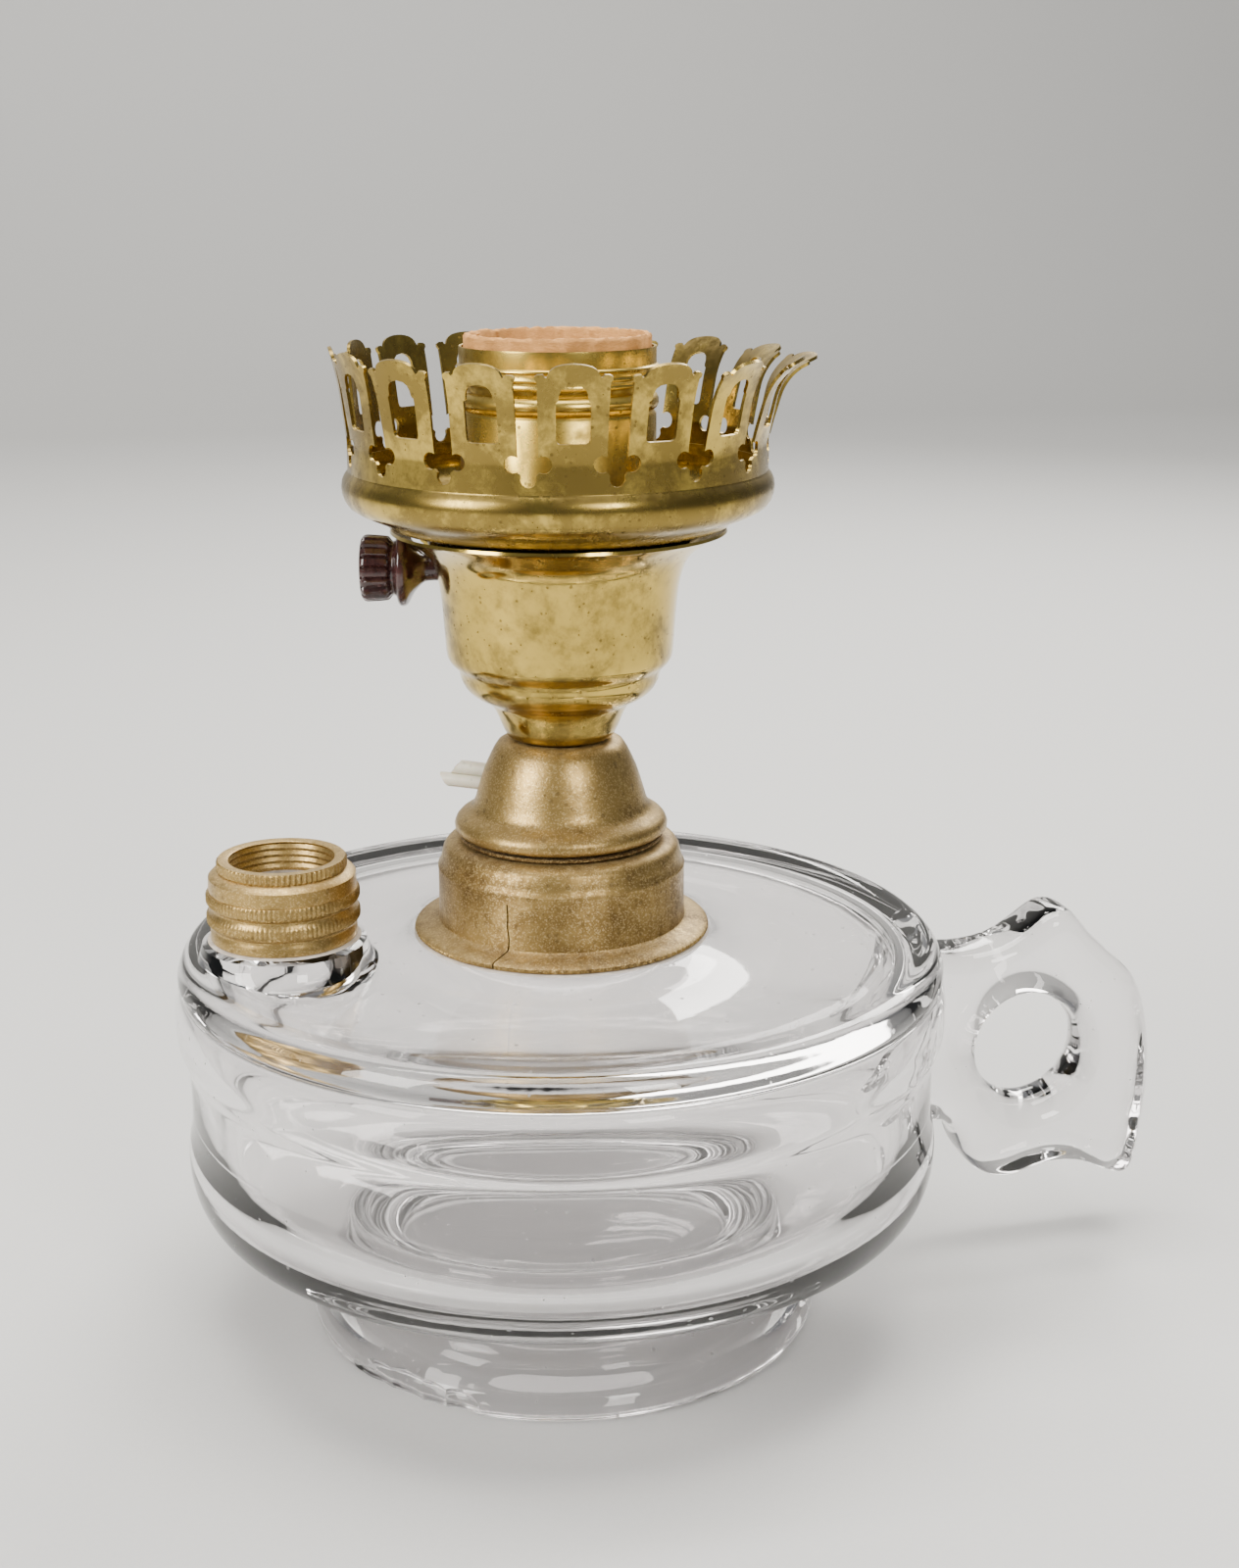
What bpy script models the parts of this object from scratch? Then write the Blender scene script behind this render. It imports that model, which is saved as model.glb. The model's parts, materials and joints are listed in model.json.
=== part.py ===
"""Finger oil lamp with a brass lamp-socket fitting, modelled as the separate pieces it comes apart into.

Units in this file are millimetres and degrees; MM turns them into metres.  +Z is up.  The handle points
along +X and the filler along -X.  The origin is on the ground, under the middle of the whole lamp, so the
lamp's own axis stands at x = AXIS_X.
"""
from math import cos, pi, radians, sin

import bmesh
import bpy
from mathutils import Euler, Matrix

MM = 0.001
GAP = 0.3                    # clearance between pieces that touch or slide

# Glass font
BOWL_R = 68.4                # waist of the bowl
FONT_H = 73.0                # ground to the top of the rim
GLASS_WALL = 4.4
BEAD = 1.9                   # how far the shoulder bead stands out of the waist
FOOT_R = 47.7
FOOT_H = 20.0                # ground to the underside of the bowl
PLATEAU_DIP = 2.2            # rim top down to the dished top
NECK_TOP = 14.0              # rim top up to the lip of the neck

# Handle
HANDLE_REACH = 50.1          # waist of the bowl to the outermost point
HANDLE_THICK = 14.0
HANDLE_ROUND = 3.0
HANDLE_DROP = 31.3           # rim top down to the centre of the finger hole
FINGER_HOLE_R = 10.5

# Filler, on the -X side
FILLER_IN = 18.0             # waist of the bowl in to the filler's axis
FILLER_R = 13.0
FILLER_BORE_R = 9.3
FILLER_H = 14.5
BOSS_H = 5.4                 # plateau up to the flat that carries the filler collar

# Burner collar
COLLAR_R = 22.3
COLLAR_FLANGE_R = 26.8
COLLAR_BORE_R = 15.9
COLLAR_H = 17.0
SHEET = 0.8                  # brass sheet of the turned shells

# Adapter: threaded ring and dome
THREAD_H = 11.2
THREAD_RING_WALL = 1.4
DOME_R = 19.2
DOME_TOP_R = 9.0
DOME_H = 17.4
CORD_HOLE_Z = 8.6            # above the dome's rim
CORD_AZ = 146.0              # the way the cord leaves the dome
CORD_R = 2.5

# Lamp pipe that clamps dome, husk and socket cap
NIPPLE_R = 4.9
NIPPLE_BORE_R = 3.6
NIPPLE_LEN = 15.6
NIPPLE_BELOW = 4.2           # how far it hangs below the dome's top
NUT_AF = 14.0
NUT_H = 2.7

# Socket
SHELL_R = 16.9
SHELL_SHEET = 0.4
SHELL_TOP = 68.5             # heights from here on are above the husk's base
SHELL_BOTTOM = 19.1
INSULATOR_WALL = 1.2
INSULATOR_PROUD = 2.1        # stands above the shell's rim
INSULATOR_BOTTOM = 25.2
CAP_CLEAR = 0.8              # socket shell to the cap's sheet
CAP_TOP = 25.6
CAP_NECK_R = 7.5
BODY_BOTTOM = 18.1
BODY_TOP = 40.1
SCREW_SHELL_R = 13.9
SCREW_SHELL_H = 26.0
SCREW_SHELL_WALL = 0.5
CONTACT_R = 3.2
TERMINAL_Z = 21.6
TERMINAL_R = 12.2            # flats that carry the terminals
TERMINAL_HEAD_R = 2.6

# Husk
HUSK_CLEAR = 1.4             # cap to the husk's sheet
HUSK_H = 37.6
HUSK_FLANGE = 9.5            # flange stands out of the husk's waist
HUSK_BASE_R = 9.1

# Chimney gallery
PRONGS = 16
PRONG_PHASE = -110.0         # azimuth of one slot
GALLERY_OUT = 7.9            # bead beyond the husk's flange
GALLERY_H = 30.5
FLARE = 3.2
SLOT_HALF = 1.7
CLOVER_R = 1.9
WINDOW_HALF = 2.65
WINDOW_H = 9.3

# Turn knob and switch, on an axis that leaves the lamp at KNOB_AZ
KNOB_AZ = 166.0
KNOB_Z = 30.1
KNOB_R = 5.85
KNOB_LEN = 15.6
KNOB_RIBS = 16
STEM_R = 2.2
SHAFT_R = 1.5
ROTOR_R = 4.0

AXIS_X = -(HANDLE_REACH - BEAD) / 2     # puts the origin under the middle of the lamp
HANDLE_Z = FONT_H - HANDLE_DROP
COLLAR_BASE = FONT_H + 1.2
DOME_BASE = COLLAR_BASE + COLLAR_H + GAP + SHEET
HUSK_BASE = DOME_BASE + DOME_H + GAP
GALLERY_BASE = HUSK_BASE + HUSK_H + GAP
PIPE_HOLE_R = NIPPLE_R + GAP
CAP_R = SHELL_R + CAP_CLEAR + SHEET
HUSK_R = CAP_R + HUSK_CLEAR
BODY_R = SHELL_R - SHELL_SHEET - INSULATOR_WALL - 2 * GAP - 0.1
SHAFT_TIP = 8.0                         # from the lamp's axis
KNOB_INNER = SHELL_R + 2.1              # inner end of the knob's stem
FONT_STEPS = 32
STEPS = 24

# Middle line of the cord from the socket to its cut end: x is the way out, heights above the dome's rim
CORD_ROUTE = [
    (0, 0, 31), (0, 0, 25), (0, 0, 19), (0, 0, 15.5), (-0.4, 1.3, 11.7), (-0.5, 3.4, 8.4), (0.4, 5.9, 5.4),
    (1.7, 8.2, 2.5), (3, 9.9, -0.8), (4.2, 10.4, -4.4), (5.1, 9.7, -8.1), (5.8, 8, -11.6), (5.9, 5.3, -14.6),
    (5.4, 2, -16.5), (4.3, -1.6, -17.2), (2.6, -5.1, -16.7), (0.4, -8, -15.1), (-1.9, -9.7, -12.5),
    (-3.9, -10.2, -9.2), (-5.2, -9.8, -5.6), (-5.5, -8.3, -2), (-4.6, -6.4, 1.3), (-2.4, -4.5, 3.9),
    (0.7, -3, 5.6), (4.4, -2, 6.8), (8.1, -1.2, 7.6), (12, -0.5, 8.2), (16, -0.1, 8.5), (20, 0, 8.6),
    (23.7, 0, 8.6),
]


# ---------------------------------------------------------------- scene and materials

def clear_scene():
    for obj in list(bpy.data.objects):
        bpy.data.objects.remove(obj, do_unlink=True)


def new_collection(name):
    coll = bpy.data.collections.new(name)
    bpy.context.scene.collection.children.link(coll)
    return coll


def material(name, color, roughness, metallic=0.0, transmission=0.0):
    mat = bpy.data.materials.new(name)
    mat.use_nodes = True
    bsdf = mat.node_tree.nodes["Principled BSDF"]
    bsdf.inputs["Base Color"].default_value = (*color, 1.0)
    bsdf.inputs["Roughness"].default_value = roughness
    bsdf.inputs["Metallic"].default_value = metallic
    bsdf.inputs["Transmission Weight"].default_value = transmission
    return mat


def glass(name):
    return material(name, (0.93, 0.92, 0.93), 0.04, transmission=1.0)


def gold_paint(name):
    return material(name, (0.42, 0.29, 0.10), 0.5, metallic=0.7)


def brass(name):
    return material(name, (0.66, 0.48, 0.16), 0.22, metallic=1.0)


def steel(name):
    return material(name, (0.55, 0.55, 0.53), 0.35, metallic=1.0)


def fibre(name):
    return material(name, (0.52, 0.27, 0.12), 0.85)


def plaster(name):
    return material(name, (0.72, 0.66, 0.60), 0.9)


def bakelite(name):
    return material(name, (0.035, 0.012, 0.010), 0.25)


def copper(name):
    return material(name, (0.72, 0.36, 0.20), 0.3, metallic=1.0)


def vinyl(name):
    return material(name, (0.86, 0.82, 0.70), 0.45)


# ---------------------------------------------------------------- modelling helpers

def arc(cr, cz, radius, start, end, count):
    """Points on an arc in the profile plane, angles in degrees from +R towards +Z."""
    step = (end - start) / (count - 1)
    angles = [radians(start + i * step) for i in range(count)]
    return [(cr + radius * cos(a), cz + radius * sin(a)) for a in angles]


def link(name, data, coll, mat=None, parent=None):
    obj = bpy.data.objects.new(name, data)
    coll.objects.link(obj)
    obj.parent = parent
    if mat:
        data.materials.append(mat)
    return obj


def empty(name, x, y, z, rotation=(0, 0, 0), parent=None):
    obj = bpy.data.objects.new(name, None)
    bpy.context.scene.collection.objects.link(obj)
    obj.parent = parent
    obj.location = (x * MM, y * MM, z * MM)
    obj.rotation_euler = [radians(a) for a in rotation]
    return obj


def turned(name, profile, coll, mat=None, parent=None, z=0.0, closed=True, steps=STEPS):
    """Profile of (radius, height) points, down the outer side first, turned about the local Z axis."""
    mesh = bpy.data.meshes.new(name)
    count = len(profile)
    edges = [(i, (i + 1) % count) for i in range(count if closed else count - 1)]
    mesh.from_pydata([(r * MM, 0, h * MM) for r, h in profile], edges, [])
    obj = link(name, mesh, coll, mat, parent)
    obj.location = (0, 0, z * MM)
    screw = obj.modifiers.new("turn", "SCREW")
    screw.axis = "Z"
    screw.steps = steps
    screw.render_steps = steps
    screw.use_merge_vertices = True
    screw.merge_threshold = 0.00001
    return obj


def shell(outer, wall):
    """Closed section of a turned sheet: the outer line and the same line moved in by the wall."""
    inner = []
    for i, (r, h) in enumerate(outer):
        r0, h0 = outer[max(i - 1, 0)]
        r1, h1 = outer[min(i + 1, len(outer) - 1)]
        dr, dh = r1 - r0, h1 - h0
        size = (dr * dr + dh * dh) ** 0.5
        inner.append((r + wall * dh / size, h - wall * dr / size))
    return outer + inner[::-1]


def block(name, size, center, coll, parent=None):
    """Box cutter or box with its centre at a local place."""
    mesh = bpy.data.meshes.new(name)
    bm = bmesh.new()
    bmesh.ops.create_cube(bm, size=1.0)
    bmesh.ops.scale(bm, vec=[s * MM for s in size], verts=bm.verts)
    bmesh.ops.translate(bm, vec=[c * MM for c in center], verts=bm.verts)
    bm.to_mesh(mesh)
    bm.free()
    return link(name, mesh, coll, None, parent)


def outline(name, rings, half, coll, mat=None, parent=None, rounding=0.0, resolution=0):
    """Flat plate from closed outlines in the local XY plane; the second and later rings are holes."""
    curve = bpy.data.curves.new(name, "CURVE")
    curve.dimensions = "2D"
    curve.fill_mode = "BOTH"
    curve.extrude = (half - rounding) * MM
    curve.bevel_depth = rounding * MM
    curve.bevel_resolution = resolution
    curve.offset = -rounding * MM
    for ring in rings:
        spline = curve.splines.new("POLY")
        spline.points.add(len(ring) - 1)
        for point, (x, y) in zip(spline.points, ring):
            point.co = (x * MM, y * MM, 0, 1)
        spline.use_cyclic_u = True
    return link(name, curve, coll, mat, parent)


def solid_of(obj):
    """Turn a curve object into a welded mesh object of the same name and place."""
    bpy.context.view_layer.update()
    graph = bpy.context.evaluated_depsgraph_get()
    mesh = bpy.data.meshes.new_from_object(obj.evaluated_get(graph))
    bm = bmesh.new()
    bm.from_mesh(mesh)
    bmesh.ops.remove_doubles(bm, verts=bm.verts, dist=0.00001)
    bmesh.ops.recalc_face_normals(bm, faces=bm.faces)
    bm.to_mesh(mesh)
    bm.free()
    name = obj.name
    coll = obj.users_collection[0]
    place = obj.matrix_world.copy()
    bpy.data.objects.remove(obj, do_unlink=True)
    solid = bpy.data.objects.new(name, mesh)
    coll.objects.link(solid)
    solid.matrix_world = place
    return solid


def cut(obj, cutter, operation="DIFFERENCE"):
    mod = obj.modifiers.new(cutter.name, "BOOLEAN")
    mod.operation = operation
    mod.solver = "EXACT"
    mod.object = cutter
    cutter.hide_render = True
    cutter.display_type = "WIRE"


def wire_tube(name, points, radius, coll, mat, parent=None, every=2.5):
    """Tube along a smooth curve through the points, sampled every few diameters."""
    curve = bpy.data.curves.new(name, "CURVE")
    curve.dimensions = "3D"
    curve.bevel_depth = radius * MM
    curve.bevel_resolution = 2
    curve.use_fill_caps = True
    path = smooth_path(points, every * 2 * radius)
    spline = curve.splines.new("POLY")
    spline.points.add(len(path) - 1)
    for point, (x, y, z) in zip(spline.points, path):
        point.co = (x * MM, y * MM, z * MM, 1)
    return link(name, curve, coll, mat, parent)


def smooth_path(points, spacing):
    """Points read at an even spacing from the centripetal curve that passes through the given points."""
    ends = [
        [2 * a - b for a, b in zip(points[0], points[1])],
        [2 * a - b for a, b in zip(points[-1], points[-2])],
    ]
    knots = [ends[0]] + [list(p) for p in points] + [ends[1]]
    fine = []
    for i in range(1, len(knots) - 2):
        for k in range(12):
            fine.append(catmull(knots[i - 1:i + 3], k / 12))
    fine.append(list(points[-1]))
    total = [0.0]
    for a, b in zip(fine, fine[1:]):
        total.append(total[-1] + sum((q - p) ** 2 for p, q in zip(a, b)) ** 0.5)
    count = max(2, round(total[-1] / spacing))
    path = []
    at = 0
    for n in range(count + 1):
        want = total[-1] * n / count
        while at < len(total) - 2 and total[at + 1] < want:
            at += 1
        share = (want - total[at]) / (total[at + 1] - total[at])
        path.append([p + (q - p) * share for p, q in zip(fine[at], fine[at + 1])])
    return path


def catmull(four, t):
    p0, p1, p2, p3 = four
    return [
        0.5 * (2 * b + (c - a) * t + (2 * a - 5 * b + 4 * c - d) * t * t + (3 * b - a - 3 * c + d) * t ** 3)
        for a, b, c, d in zip(p0, p1, p2, p3)
    ]


# ---------------------------------------------------------------- glass font and what is cemented to it

def font_outer(grow=0.0):
    """Outer side of the turned glass, from the neck's lip down to the ground."""
    top = FONT_H
    neck_r = COLLAR_BORE_R + SHEET + GAP + 2.6 + grow
    rim = BOWL_R - 2.4
    line = [(neck_r, top + NECK_TOP + grow), (neck_r, top + 3.2), (neck_r + 1.4, top + 1.0)]
    line += [(COLLAR_FLANGE_R, top + 0.4 + grow), (COLLAR_FLANGE_R + 6, top - 1.6 + grow)]
    line += [(BOWL_R - 24, top - PLATEAU_DIP + grow), (rim - 6, top - 1.0 + grow)]
    line += arc(rim, top - 3.6, 3.6 + grow, 90, 12, 4)
    line += arc(BOWL_R - 4.4, top - 14.0, 4.4 + BEAD + grow, 40, -50, 6)
    line += [(BOWL_R + grow, top - 20.6), (BOWL_R + grow, FOOT_H + 19.8)]
    line += arc(BOWL_R - 4.6, FOOT_H + 13.5, 5.5 + grow, 35, -52, 5)
    line += [(BOWL_R - 10.0, FOOT_H + 3.4 - grow), (BOWL_R - 20.0, FOOT_H + 0.6 - grow)]
    line += [(FOOT_R - 7.5 + grow, FOOT_H - 1.6), (FOOT_R - 9.3 + grow, FOOT_H - 6.0)]
    line += [(FOOT_R - 7.0 + grow, FOOT_H - 10.5), (FOOT_R - 2.7 + grow, 5.4), (FOOT_R - 0.3 + grow, 4.2)]
    line += [(FOOT_R + grow, 2.4), (FOOT_R + grow, 0)]
    return line


def font_inner():
    """Hollow underside, then the floor and the inside wall up to the neck's lip."""
    top = FONT_H
    foot = [(FOOT_R - 4.2, 0), (FOOT_R - 4.8, 3.0), (FOOT_R - 9.0, 8.0)]
    foot += [(FOOT_R - 14.5, FOOT_H - 6.5), (0, FOOT_H - 5.4)]
    floor = [(0, FOOT_H - 5.4 + GLASS_WALL), (FOOT_R - 16.0, FOOT_H - 0.6), (FOOT_R - 4.0, FOOT_H + 4.6)]
    floor += [(BOWL_R - 12.5, FOOT_H + 8.0), (BOWL_R - 6.5, FOOT_H + 12.0)]
    side = [(BOWL_R - GLASS_WALL, FOOT_H + 18.0), (BOWL_R - GLASS_WALL, top - 19.4)]
    side += [(BOWL_R - 2.8, top - 14.5), (BOWL_R - 3.6, top - 9.0), (BOWL_R - 7.0, top - 6.2)]
    roof = [(BOWL_R - 24, top - PLATEAU_DIP - GLASS_WALL), (COLLAR_FLANGE_R + 4, top - 6.0)]
    neck = COLLAR_BORE_R + SHEET + GAP
    roof += [(neck + 3.0, top - 4.0), (neck, top - 0.5), (neck, top + NECK_TOP)]
    return foot, floor + side + roof


def filler_axis_x():
    return -(BOWL_R - FILLER_IN)


def make_font(coll, cutters, axis):
    foot, inside = font_inner()
    profile = font_outer() + foot + inside
    font = turned("glass_font", profile, coll, glass("clear_glass"), axis, closed=True, steps=FONT_STEPS)
    base = FONT_H - PLATEAU_DIP
    seat = base + BOSS_H
    neck_r = FILLER_BORE_R + 1.3
    boss = [(0, seat + 8.0), (neck_r, seat + 8.0), (neck_r, seat), (FILLER_R + 1.2, seat)]
    boss += [(FILLER_R + 2.4, base + 1.0), (FILLER_R + 2.4, base - 2.0), (0, base - 2.0)]
    boss_solid = turned("filler_boss", boss, cutters, None, axis, closed=False, steps=24)
    boss_solid.location.x = filler_axis_x() * MM
    cut(font, boss_solid, "UNION")
    well = [(0, seat + 12.0), (FILLER_BORE_R, seat + 12.0), (FILLER_BORE_R, base - 12.0), (0, base - 12.0)]
    well_solid = turned("filler_well", well, cutters, None, axis, closed=False, steps=24)
    well_solid.location.x = filler_axis_x() * MM
    cut(font, well_solid)
    return font


def handle_outline():
    """Outer edge of the handle plate in its own plane: x from the lamp's axis, y up."""
    x = BOWL_R
    z = HANDLE_Z
    return [
        (x - 3.0, z + 21.0), (x + 6.4, z + 21.7), (x + 16.5, z + 22.8), (x + 21.5, z + 25.4),
        (x + 26.4, z + 28.4), (x + 28.8, z + 29.2), (x + 31.5, z + 28.2), (x + 37.1, z + 22.0),
        (x + 41.6, z + 17.6), (x + 46.2, z + 12.6), (x + HANDLE_REACH - 0.4, z + 2.3),
        (x + HANDLE_REACH, z - 6.2),
        (x + HANDLE_REACH - 1.1, z - 18.9), (x + HANDLE_REACH - 2.6, z - 27.4), (x + 45.4, z - 29.3),
        (x + 38.1, z - 26.3), (x + 32.7, z - 24.8), (x + 27.3, z - 25.1), (x + 21.0, z - 26.7),
        (x + 15.0, z - 25.8), (x + 10.0, z - 21.0), (x + 6.0, z - 14.5), (x - 3.0, z - 12.5),
    ]


def make_handle(coll, cutters, axis):
    center = BOWL_R + 24.5
    ring = [(center + FINGER_HOLE_R * cos(a), HANDLE_Z + FINGER_HOLE_R * sin(a))
            for a in [2 * pi * i / 24 for i in range(24)]]
    plate = outline("finger_handle", [handle_outline(), ring], HANDLE_THICK / 2, coll,
                    glass("handle_glass"), axis, rounding=HANDLE_ROUND, resolution=1)
    plate.rotation_euler = (radians(90), 0, 0)
    handle = solid_of(plate)
    profile = [(0, FONT_H + 30)] + font_outer(GAP) + [(0, 0)]
    room = turned("bowl_room", profile, cutters, None, axis, closed=False, steps=FONT_STEPS)
    cut(handle, room)
    return handle


def make_burner_collar(coll, axis):
    top = COLLAR_H
    outer = [(COLLAR_BORE_R, top - THREAD_H), (COLLAR_BORE_R, top - 0.7), (COLLAR_BORE_R + 0.7, top)]
    outer = outer + [(COLLAR_R - 2.6, top), (COLLAR_R - 0.9, top - 1.7), (COLLAR_R - 0.2, top - 4.7)]
    outer += [(COLLAR_R, top - 5.4), (COLLAR_R, 2.8), (COLLAR_R + 0.5, 2.1), (COLLAR_FLANGE_R, 1.0)]
    outer += [(COLLAR_FLANGE_R, 0), (COLLAR_R, 0), (COLLAR_R - SHEET, 1.6), (COLLAR_R - SHEET, top - 5.2)]
    outer += [(COLLAR_R - 1.8, top - 2.2), (COLLAR_R - 3.0, top - SHEET)]
    outer += [(COLLAR_BORE_R + SHEET, top - SHEET)]
    outer += [(COLLAR_BORE_R + SHEET, top - THREAD_H)]
    turned("burner_collar", outer, coll, gold_paint("collar_gold_paint"), axis, COLLAR_BASE)


def make_collar_plaster(coll, axis):
    inner = COLLAR_BORE_R + SHEET + 2 * GAP + 2.6
    outer = COLLAR_R - SHEET - GAP
    base = FONT_H + 1.8 + GAP
    height = NECK_TOP - 4.0
    ring = [(outer, height), (outer, 1.2), (outer - 0.6, 0), (inner + 1.2, 0), (inner, 1.4), (inner, height)]
    turned("collar_plaster", ring, coll, plaster("collar_cement"), axis, base)


def make_filler_collar(coll, axis):
    top = FILLER_H
    r = FILLER_R
    line = [(FILLER_BORE_R, top), (r - 1.6, top), (r - 1.6, top - 1.8), (r - 0.1, top - 2.8), (r, top - 5.3)]
    for bead in (top - 6.7, top - 10.3):
        line += [(r + 0.55, bead + 0.9), (r + 0.55, bead - 0.9), (r - 0.3, bead - 1.6)]
    line += [(r - 0.1, 0), (r - 0.7, 0), (r - 0.9, top - 3.2), (r - 2.1, top - 2.4)]
    line += [(FILLER_BORE_R + 0.6, top - 2.4), (FILLER_BORE_R + 0.6, top - 5.8), (FILLER_BORE_R, top - 5.8)]
    base = FONT_H - PLATEAU_DIP + BOSS_H + GAP
    obj = turned("filler_collar", line, coll, gold_paint("filler_gold_paint"), axis, base, steps=24)
    obj.location.x = filler_axis_x() * MM


def make_filler_plaster(coll, axis):
    outer = FILLER_R - 0.9 - GAP
    inner = FILLER_BORE_R + 1.3 + GAP
    base = FONT_H - PLATEAU_DIP + BOSS_H + GAP
    ring = [(outer, 8.0), (outer, 0.2), (inner, 0.2), (inner, 8.0)]
    obj = turned("filler_plaster", ring, coll, plaster("filler_cement"), axis, base, steps=24)
    obj.location.x = filler_axis_x() * MM


# ---------------------------------------------------------------- adapter, pipe and husk

def make_thread_ring(coll, axis):
    outer = COLLAR_BORE_R - GAP
    inner = outer - THREAD_RING_WALL
    flange = DOME_R - 0.9
    ring = [(flange, 0), (flange, -0.6), (outer, -0.6), (outer, -THREAD_H), (inner, -THREAD_H), (inner, 0)]
    turned("adapter_thread_ring", ring, coll, brass("thread_ring_brass"), axis, DOME_BASE - GAP + 0.1)


def dome_outer():
    r = DOME_R
    line = [(PIPE_HOLE_R, DOME_H), (DOME_TOP_R, DOME_H), (DOME_TOP_R + 2.0, DOME_H - 0.6)]
    line += [(DOME_TOP_R + 3.5, DOME_H - 2.7), (r - 4.7, DOME_H - 7.6), (r - 3.8, DOME_H - 10.8)]
    line += [(r - 3.2, 4.9), (r - 0.9, 4.0), (r, 2.0), (r - 0.3, 0)]
    return line


def make_dome(coll, cutters, axis):
    line = shell(dome_outer(), SHEET)
    dome = turned("adapter_dome", line, coll, gold_paint("dome_gold_paint"), axis, DOME_BASE)
    hole = [(0, DOME_R + 2), (CORD_R + 1.0, DOME_R + 2), (CORD_R + 1.0, 9.0), (0, 9.0)]
    bit = turned("cord_hole", hole, cutters, None, axis, closed=False, steps=12)
    bit.location = (0, 0, (DOME_BASE + CORD_HOLE_Z) * MM)
    bit.rotation_euler = (0, radians(90), radians(CORD_AZ))
    cut(dome, bit)


def make_nipple(coll, axis):
    top = NIPPLE_LEN
    tube = [(NIPPLE_R - 0.4, top), (NIPPLE_R, top - 0.5), (NIPPLE_R, 0.5), (NIPPLE_R - 0.4, 0)]
    tube += [(NIPPLE_BORE_R, 0), (NIPPLE_BORE_R, top)]
    turned("lamp_nipple", tube, coll, steel("nipple_zinc"), axis, DOME_BASE + DOME_H - NIPPLE_BELOW, steps=24)


def hexagon_ring(name, across, bore, height, coll, mat, parent, z):
    radius = across / 2 / cos(pi / 6)
    hexagon = [(radius * cos(a), radius * sin(a)) for a in [pi / 3 * i for i in range(6)]]
    hole = [(bore * cos(a), bore * sin(a)) for a in [pi / 12 * i for i in range(24)]]
    nut = solid_of(outline(name, [hexagon, hole], height / 2, coll, mat))
    nut.parent = parent
    nut.location.z = z * MM


def make_locknut(coll, axis):
    under = DOME_BASE + DOME_H - SHEET - GAP
    zinc = steel("locknut_zinc")
    hexagon_ring("nipple_locknut", NUT_AF, PIPE_HOLE_R, NUT_H, coll, zinc, axis, under - NUT_H / 2)


def husk_outer():
    r = HUSK_R
    f = HUSK_R + HUSK_FLANGE
    h = HUSK_H
    line = [(f, h - SHEET), (f - 1.0, h - SHEET - 0.2), (f - 3.4, h - 2.4), (r + 3.3, h - 4.4)]
    line += [(r + 1.7, h - 7.2), (r + 0.6, h - 11.5), (r + 0.1, h - 18.0), (r, h - 22.7)]
    line += [(r - 0.9, h - 24.0), (r - 2.2, h - 25.2), (r - 4.0, h - 28.8)]
    line += [(HUSK_BASE_R + 4.7, 7.3), (HUSK_BASE_R + 2.5, 5.6), (HUSK_BASE_R + 1.3, 2.4)]
    line += [(HUSK_BASE_R, 0), (PIPE_HOLE_R, 0)]
    return line


def make_husk(coll, cutters, axis):
    husk = turned("burner_husk", shell(husk_outer(), SHEET), coll, brass("husk_brass"), axis, HUSK_BASE)
    width = 2 * (STEM_R + 0.7)
    height = HUSK_H - KNOB_Z + STEM_R + 2.8
    middle = (HUSK_R + HUSK_FLANGE - 6, 0, HUSK_BASE + HUSK_H + 2 - (height + 4) / 2 + 2)
    slot = block("stem_slot", (24, width, height + 4), middle, cutters, axis)
    slot.rotation_euler.z = radians(KNOB_AZ)
    cut(husk, slot)
    reach = KNOB_INNER + KNOB_LEN
    room = [(0, reach), (KNOB_R + 1.5, reach), (KNOB_R + 1.5, reach - 10.2), (0, reach - 10.2)]
    notch = turned("knob_room", room, cutters, None, axis, closed=False, steps=20)
    notch.location = (0, 0, (HUSK_BASE + KNOB_Z) * MM)
    notch.rotation_euler = (0, radians(90), radians(KNOB_AZ))
    cut(husk, notch)


# ---------------------------------------------------------------- socket

def cap_outer():
    r = CAP_R
    rise = SHELL_BOTTOM
    line = [(r, CAP_TOP), (r, rise - 2.5), (r - 1.0, rise - 5.0), (r - 3.5, rise - 8.0)]
    line += [(CAP_NECK_R + 3.0, 8.6)]
    line += [(CAP_NECK_R, 7.1), (CAP_NECK_R, SHEET + GAP), (PIPE_HOLE_R, SHEET + GAP), (PIPE_HOLE_R, 8.4)]
    return line


def make_cap(coll, cutters, axis):
    r = CAP_R - SHEET
    rise = SHELL_BOTTOM
    inside = [(CAP_NECK_R + 2.4, 9.4), (r - 3.2, rise - 7.4), (r - 0.8, rise - 4.6)]
    inside += [(r, rise - 2.3), (r, CAP_TOP)]
    cap = turned("socket_cap", cap_outer() + inside, coll, brass("cap_brass"), axis, HUSK_BASE)
    hole = [(0, 12), (1.7, 12), (1.7, NIPPLE_R), (0, NIPPLE_R)]
    bit = turned("set_screw_hole", hole, cutters, None, axis, closed=False, steps=10)
    bit.location = (0, 0, (HUSK_BASE + 4.3) * MM)
    bit.rotation_euler = (0, radians(90), radians(KNOB_AZ + 180))
    cut(cap, bit)


def make_set_screw(coll, axis):
    pin = [(0, CAP_NECK_R + 1.2), (1.2, CAP_NECK_R + 1.2), (1.4, CAP_NECK_R + 1.0), (1.4, PIPE_HOLE_R)]
    pin += [(0, PIPE_HOLE_R)]
    screw = turned("cap_set_screw", pin, coll, steel("set_screw_steel"), axis, closed=False, steps=10)
    screw.location = (0, 0, (HUSK_BASE + 4.3) * MM)
    screw.rotation_euler = (0, radians(90), radians(KNOB_AZ + 180))


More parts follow.
